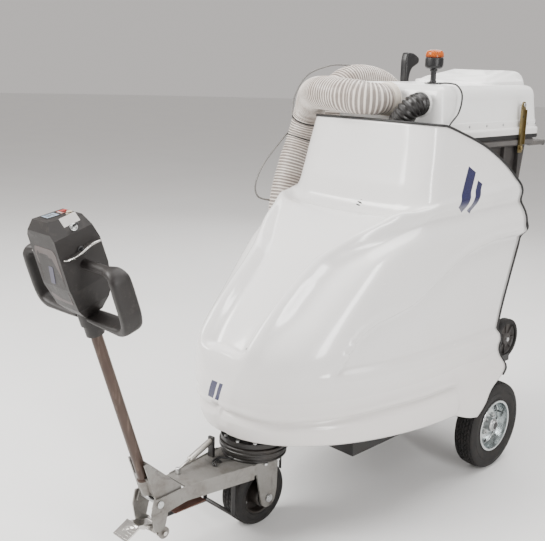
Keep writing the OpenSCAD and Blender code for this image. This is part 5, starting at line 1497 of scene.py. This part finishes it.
def chassis_pieces():
    for node, look, slot, width in CHASSIS:
        softened(node, look, "bin" if node == "bin_axle" else "chassis", width)
    softened("fan_impeller", "alloy", "fan_rotor", 0.0008, 1)
    # bolts along the deck's flange
    heads = []
    for s in (-1, 1):
        for k, y in enumerate((-340, -190, -40, 110)):
            heads.append(turned(f"deck_bolt_{s}_{k}", rounded([(0.0001, 0.0), (0.0085, 0.0), (0.0085, 0.0055),
                (0.0068, 0.0070), (0.0001, 0.0072)], 0.0007, 3),
                                design([s * 312, y, 457]), ((0, 1, 0), (0, 0, s), (s, 0, 0)), "chassis", "zinc",
                                    "frame_black", n=6, angle=25))
    joined("deck_bolts", heads)


# ---------------------------------------------------------------- stage
def look_at(name, kind, energy, size, place, target, colour):
    """A light at place that points at target."""
    data = bpy.data.lights.new(name, kind)
    data.energy, data.color = energy, colour
    if kind == "AREA":
        data.shape = "RECTANGLE"
        data.size, data.size_y = size
    obj = bpy.data.objects.new(name, data)
    z = unit(np.array(place, float) - np.array(target, float))
    x = unit(np.cross([0, 0, 1.0], z))
    y = np.cross(z, x)
    m = Matrix([[x[k], y[k], z[k], place[k]] for k in range(3)] + [[0, 0, 0, 1]])
    obj.matrix_world = m
    bpy.context.scene.collection.objects.link(obj)
    return obj


def stage_pieces():
    s = bpy.context.scene.stage_sizes
    cam = bpy.data.cameras.new("camera")
    cam.sensor_width, cam.lens = 36.0, s.lens
    cam.clip_start, cam.clip_end = 0.05, 200.0
    cam.dof.use_dof = False
    obj = bpy.data.objects.new("camera", cam)
    a, e, r = math.radians(45.063), math.radians(13.9326), math.radians(1.524)
    fwd = np.array([-math.sin(a) * math.cos(e), math.cos(a) * math.cos(e), -math.sin(e)])
    right = np.array([math.cos(a), math.sin(a), 0])
    up = np.cross(right, fwd)
    x = right * math.cos(r) + up * math.sin(r)
    y = -right * math.sin(r) + up * math.cos(r)
    at = np.array([2.16649, -3.20545 + AY, 1.76428])
    obj.matrix_world = Matrix([[x[k], y[k], -fwd[k], at[k]] for k in range(3)] + [[0, 0, 0, 1]])
    bpy.context.scene.collection.objects.link(obj)
    bpy.context.scene.camera = obj
    # floor: a gently sagging disc, dead flat under the wheels
    n, m = 30, 96
    rad = np.linspace(0.02, 1, n) ** 2 * 40.0
    t = np.arange(m) / m * TAU
    grid = np.stack([rad[:, None] * np.cos(t), rad[:, None] * np.sin(t),
                     np.repeat((-0.0012 - 0.02 * ramp(rad, 8, 40))[:, None], m, 1)], -1)
    mesh = bpy.data.meshes.new("floor")
    mesh.from_pydata(grid.reshape(-1, 3).tolist(), [], [f[::-1] for f in cells_of(n,
        m).tolist()] + [list(range(m))])
    mesh.materials.append(finish("floor"))
    floor = bpy.data.objects.new("floor", mesh)
    bpy.context.scene.collection.objects.link(floor)
    world = bpy.data.worlds.new("studio")
    world.use_nodes = True
    world.node_tree.nodes["Background"].inputs[0].default_value = (1.0, 0.955, 0.925, 1.0)
    world.node_tree.nodes["Background"].inputs[1].default_value = s.world
    bpy.context.scene.world = world
    look_at("key", "AREA", s.key, (3.2, 3.2), (-2.6, -4.2, 4.6), (0, 0, 0.8), (1.0, 0.985, 0.96))
    look_at("strip", "AREA", s.strip, (0.55, 3.4), (4.4, -0.9, 2.6), (0.2, 0.1, 0.9), (1.0, 0.99, 0.98))
    look_at("top", "AREA", s.top, (4.0, 4.0), (0.4, 1.2, 5.4), (0, 0, 0.5), (1.0, 0.99, 0.98))
    look_at("back", "AREA", s.back, (3.0, 2.0), (-3.4, 4.2, 3.0), (0, 0, 0.9), (1.0, 0.98, 0.96))


# ---------------------------------------------------------------- add-on
def length_prop(name, text, default, low, high):
    return bpy.props.FloatProperty(name=name, description=text, default=default, min=low, max=high,
        subtype="DISTANCE", unit="LENGTH", precision=4)


class ShellSizes(bpy.types.PropertyGroup):
    colour: bpy.props.FloatVectorProperty(name="Gel coat", description="Colour of the shell", default=(0.80,
        0.79, 0.78), min=0, max=1, subtype="COLOR")
    roughness: bpy.props.FloatProperty(name="Roughness", description="How dull the gel coat is", default=0.20,
        min=0, max=1, subtype="FACTOR")
    wall: length_prop("Wall", "Thickness of the shell", 0.004, 0.002, 0.008)
    ridge: length_prop("Ridge", "How far the nose ridges stand up", 0.020, 0, 0.03)
    trough: length_prop("Trough", "How deep the trough between them is", 0.036, 0, 0.05)
    hollow: length_prop("Hollow", "How deep the hollows outside the ridges are", 0.026, 0, 0.05)
    scoop: length_prop("Scoop", "How deep the flank panels are", 0.021, 0, 0.03)
    groove: length_prop("Groove", "How deep the groove over the lip is", 0.014, 0, 0.03)
    flare: length_prop("Flare", "How far the wheel arches stand out", 0.022, 0, 0.04)


class HoseSizes(bpy.types.PropertyGroup):
    pitch: length_prop("Wire pitch", "Distance between turns of the suction hose's wire", 0.0130, 0.006, 0.04)
    depth: length_prop("Wire depth", "How far its film sinks between turns", 0.0032, 0, 0.008)
    fan_pitch: length_prop("Rib pitch", "Distance between ribs of the fan hose", 0.0135, 0.006, 0.04)
    fan_depth: length_prop("Rib depth", "How deep its ribs are", 0.0055, 0, 0.01)


class WheelSizes(bpy.types.PropertyGroup):
    block_count: bpy.props.IntProperty(name="Blocks", description="Tread blocks round a rear tyre", default=54,
        min=20, max=90)
    tyre_steps: bpy.props.IntProperty(name="Steps", description="Facets round a rear tyre", default=432, min=64,
        max=720)
    tread_depth: length_prop("Tread", "Depth of the rear tread", 0.0065, 0.001, 0.01)


class StageSizes(bpy.types.PropertyGroup):
    lens: bpy.props.FloatProperty(name="Lens", description="Focal length on a 36 mm sensor", default=55.617,
        min=10, max=200, unit="CAMERA")
    world: bpy.props.FloatProperty(name="Sky", description="Strength of the even white light", default=0.62,
        min=0, max=5)
    key: bpy.props.FloatProperty(name="Key", description="Power of the key light", default=640.0, min=0,
        max=2000, unit="POWER")
    strip: bpy.props.FloatProperty(name="Strip", description="Power of the tall side light", default=150.0,
        min=0, max=2000, unit="POWER")
    top: bpy.props.FloatProperty(name="Top", description="Power of the overhead light", default=330.0, min=0,
        max=2000, unit="POWER")
    back: bpy.props.FloatProperty(name="Back", description="Power of the back light", default=60.0, min=0,
        max=2000, unit="POWER")


def operator(key, label, text, work):
    """An operator class that runs one making function."""
    def execute(self, context):
        work()
        return {"FINISHED"}
    return type("LITTERVAC_OT_" + key, (bpy.types.Operator,), {
        "__doc__": text, "bl_idname": "littervac." + key, "bl_label": label, "bl_options": {"REGISTER", "UNDO"},
            "execute": execute})


OPERATORS = [
    operator("stage", "Stage", "Camera, floor and lights", stage_pieces),
    operator("hoses", "Hoses and cables", "Suction hose, fan hose, cables and ties", hose_pieces),
    operator("shell", "Body shell", "White body shell and its rubber edging", shell_pieces),
    operator("lid", "Lid", "Suction lid, dome, seal, rivets and hinge lugs", lid_pieces),
    operator("cuffs", "Cuffs", "Rings where the hoses meet the lid", cuff_pieces),
    operator("beacon", "Beacon", "Amber beacon on its post", beacon_pieces),
    operator("latches", "Latches", "Strap latches on both sides", lambda: (latch_pieces("left"),
        latch_pieces("right"))),
    operator("bin", "Bin", "Wheeled bin under the lid", bin_pieces),
    operator("bin_wheels", "Bin wheels", "The bin's two wheels", bin_wheels),
    operator("wand", "Wand", "Hand wand and grip", wand_pieces),
    operator("rear_wheels", "Rear wheels", "Tyres, rims and hubs", rear_wheels),
    operator("drive_wheel", "Drive wheel", "Front driven wheel", drive_wheel),
    operator("steering", "Steering", "Bracket, slewing ring, guard and gas spring", steering_pieces),
    operator("pedal", "Pedal", "Foot pedal", pedal_pieces),
    operator("tiller", "Tiller", "Tiller foot and tube", tiller_pieces),
    operator("head", "Tiller head", "Head case, panel and collar", head_pieces),
    operator("handles", "Handles", "D-shaped handles", handle_pieces),
    operator("controls", "Controls", "Screen, buttons, key, label and speed wings", control_pieces),
    operator("chassis", "Chassis", "Frame, axle, deck, batteries, fan and brackets", chassis_pieces),
]


class LITTERVAC_PT_panel(bpy.types.Panel):
    """Lists the makers, one button each"""
    bl_label = "Litter Vacuum"
    bl_idname = "LITTERVAC_PT_panel"
    bl_space_type = "VIEW_3D"
    bl_region_type = "UI"
    bl_category = "Litter Vacuum"

    def draw(self, context):
        for op in OPERATORS:
            self.layout.operator(op.bl_idname, text=op.bl_label)


GROUPS = {"shell_sizes": ShellSizes, "hose_sizes": HoseSizes, "wheel_sizes": WheelSizes, "stage_sizes": StageSizes}


def register():
    for c in [*GROUPS.values(), *OPERATORS, LITTERVAC_PT_panel]:
        bpy.utils.register_class(c)
    for name, group in GROUPS.items():
        setattr(bpy.types.Scene, name, bpy.props.PointerProperty(type=group))


def unregister():
    for name in GROUPS:
        delattr(bpy.types.Scene, name)
    for c in reversed([*GROUPS.values(), *OPERATORS, LITTERVAC_PT_panel]):
        bpy.utils.unregister_class(c)


def main():
    """Registers the classes, runs every maker in order and writes both sizes."""
    register()
    for op in OPERATORS:
        getattr(bpy.ops.littervac, op.bl_idname.split(".")[1])()
    bpy.context.view_layer.update()


if __name__ == "__main__":
    main()
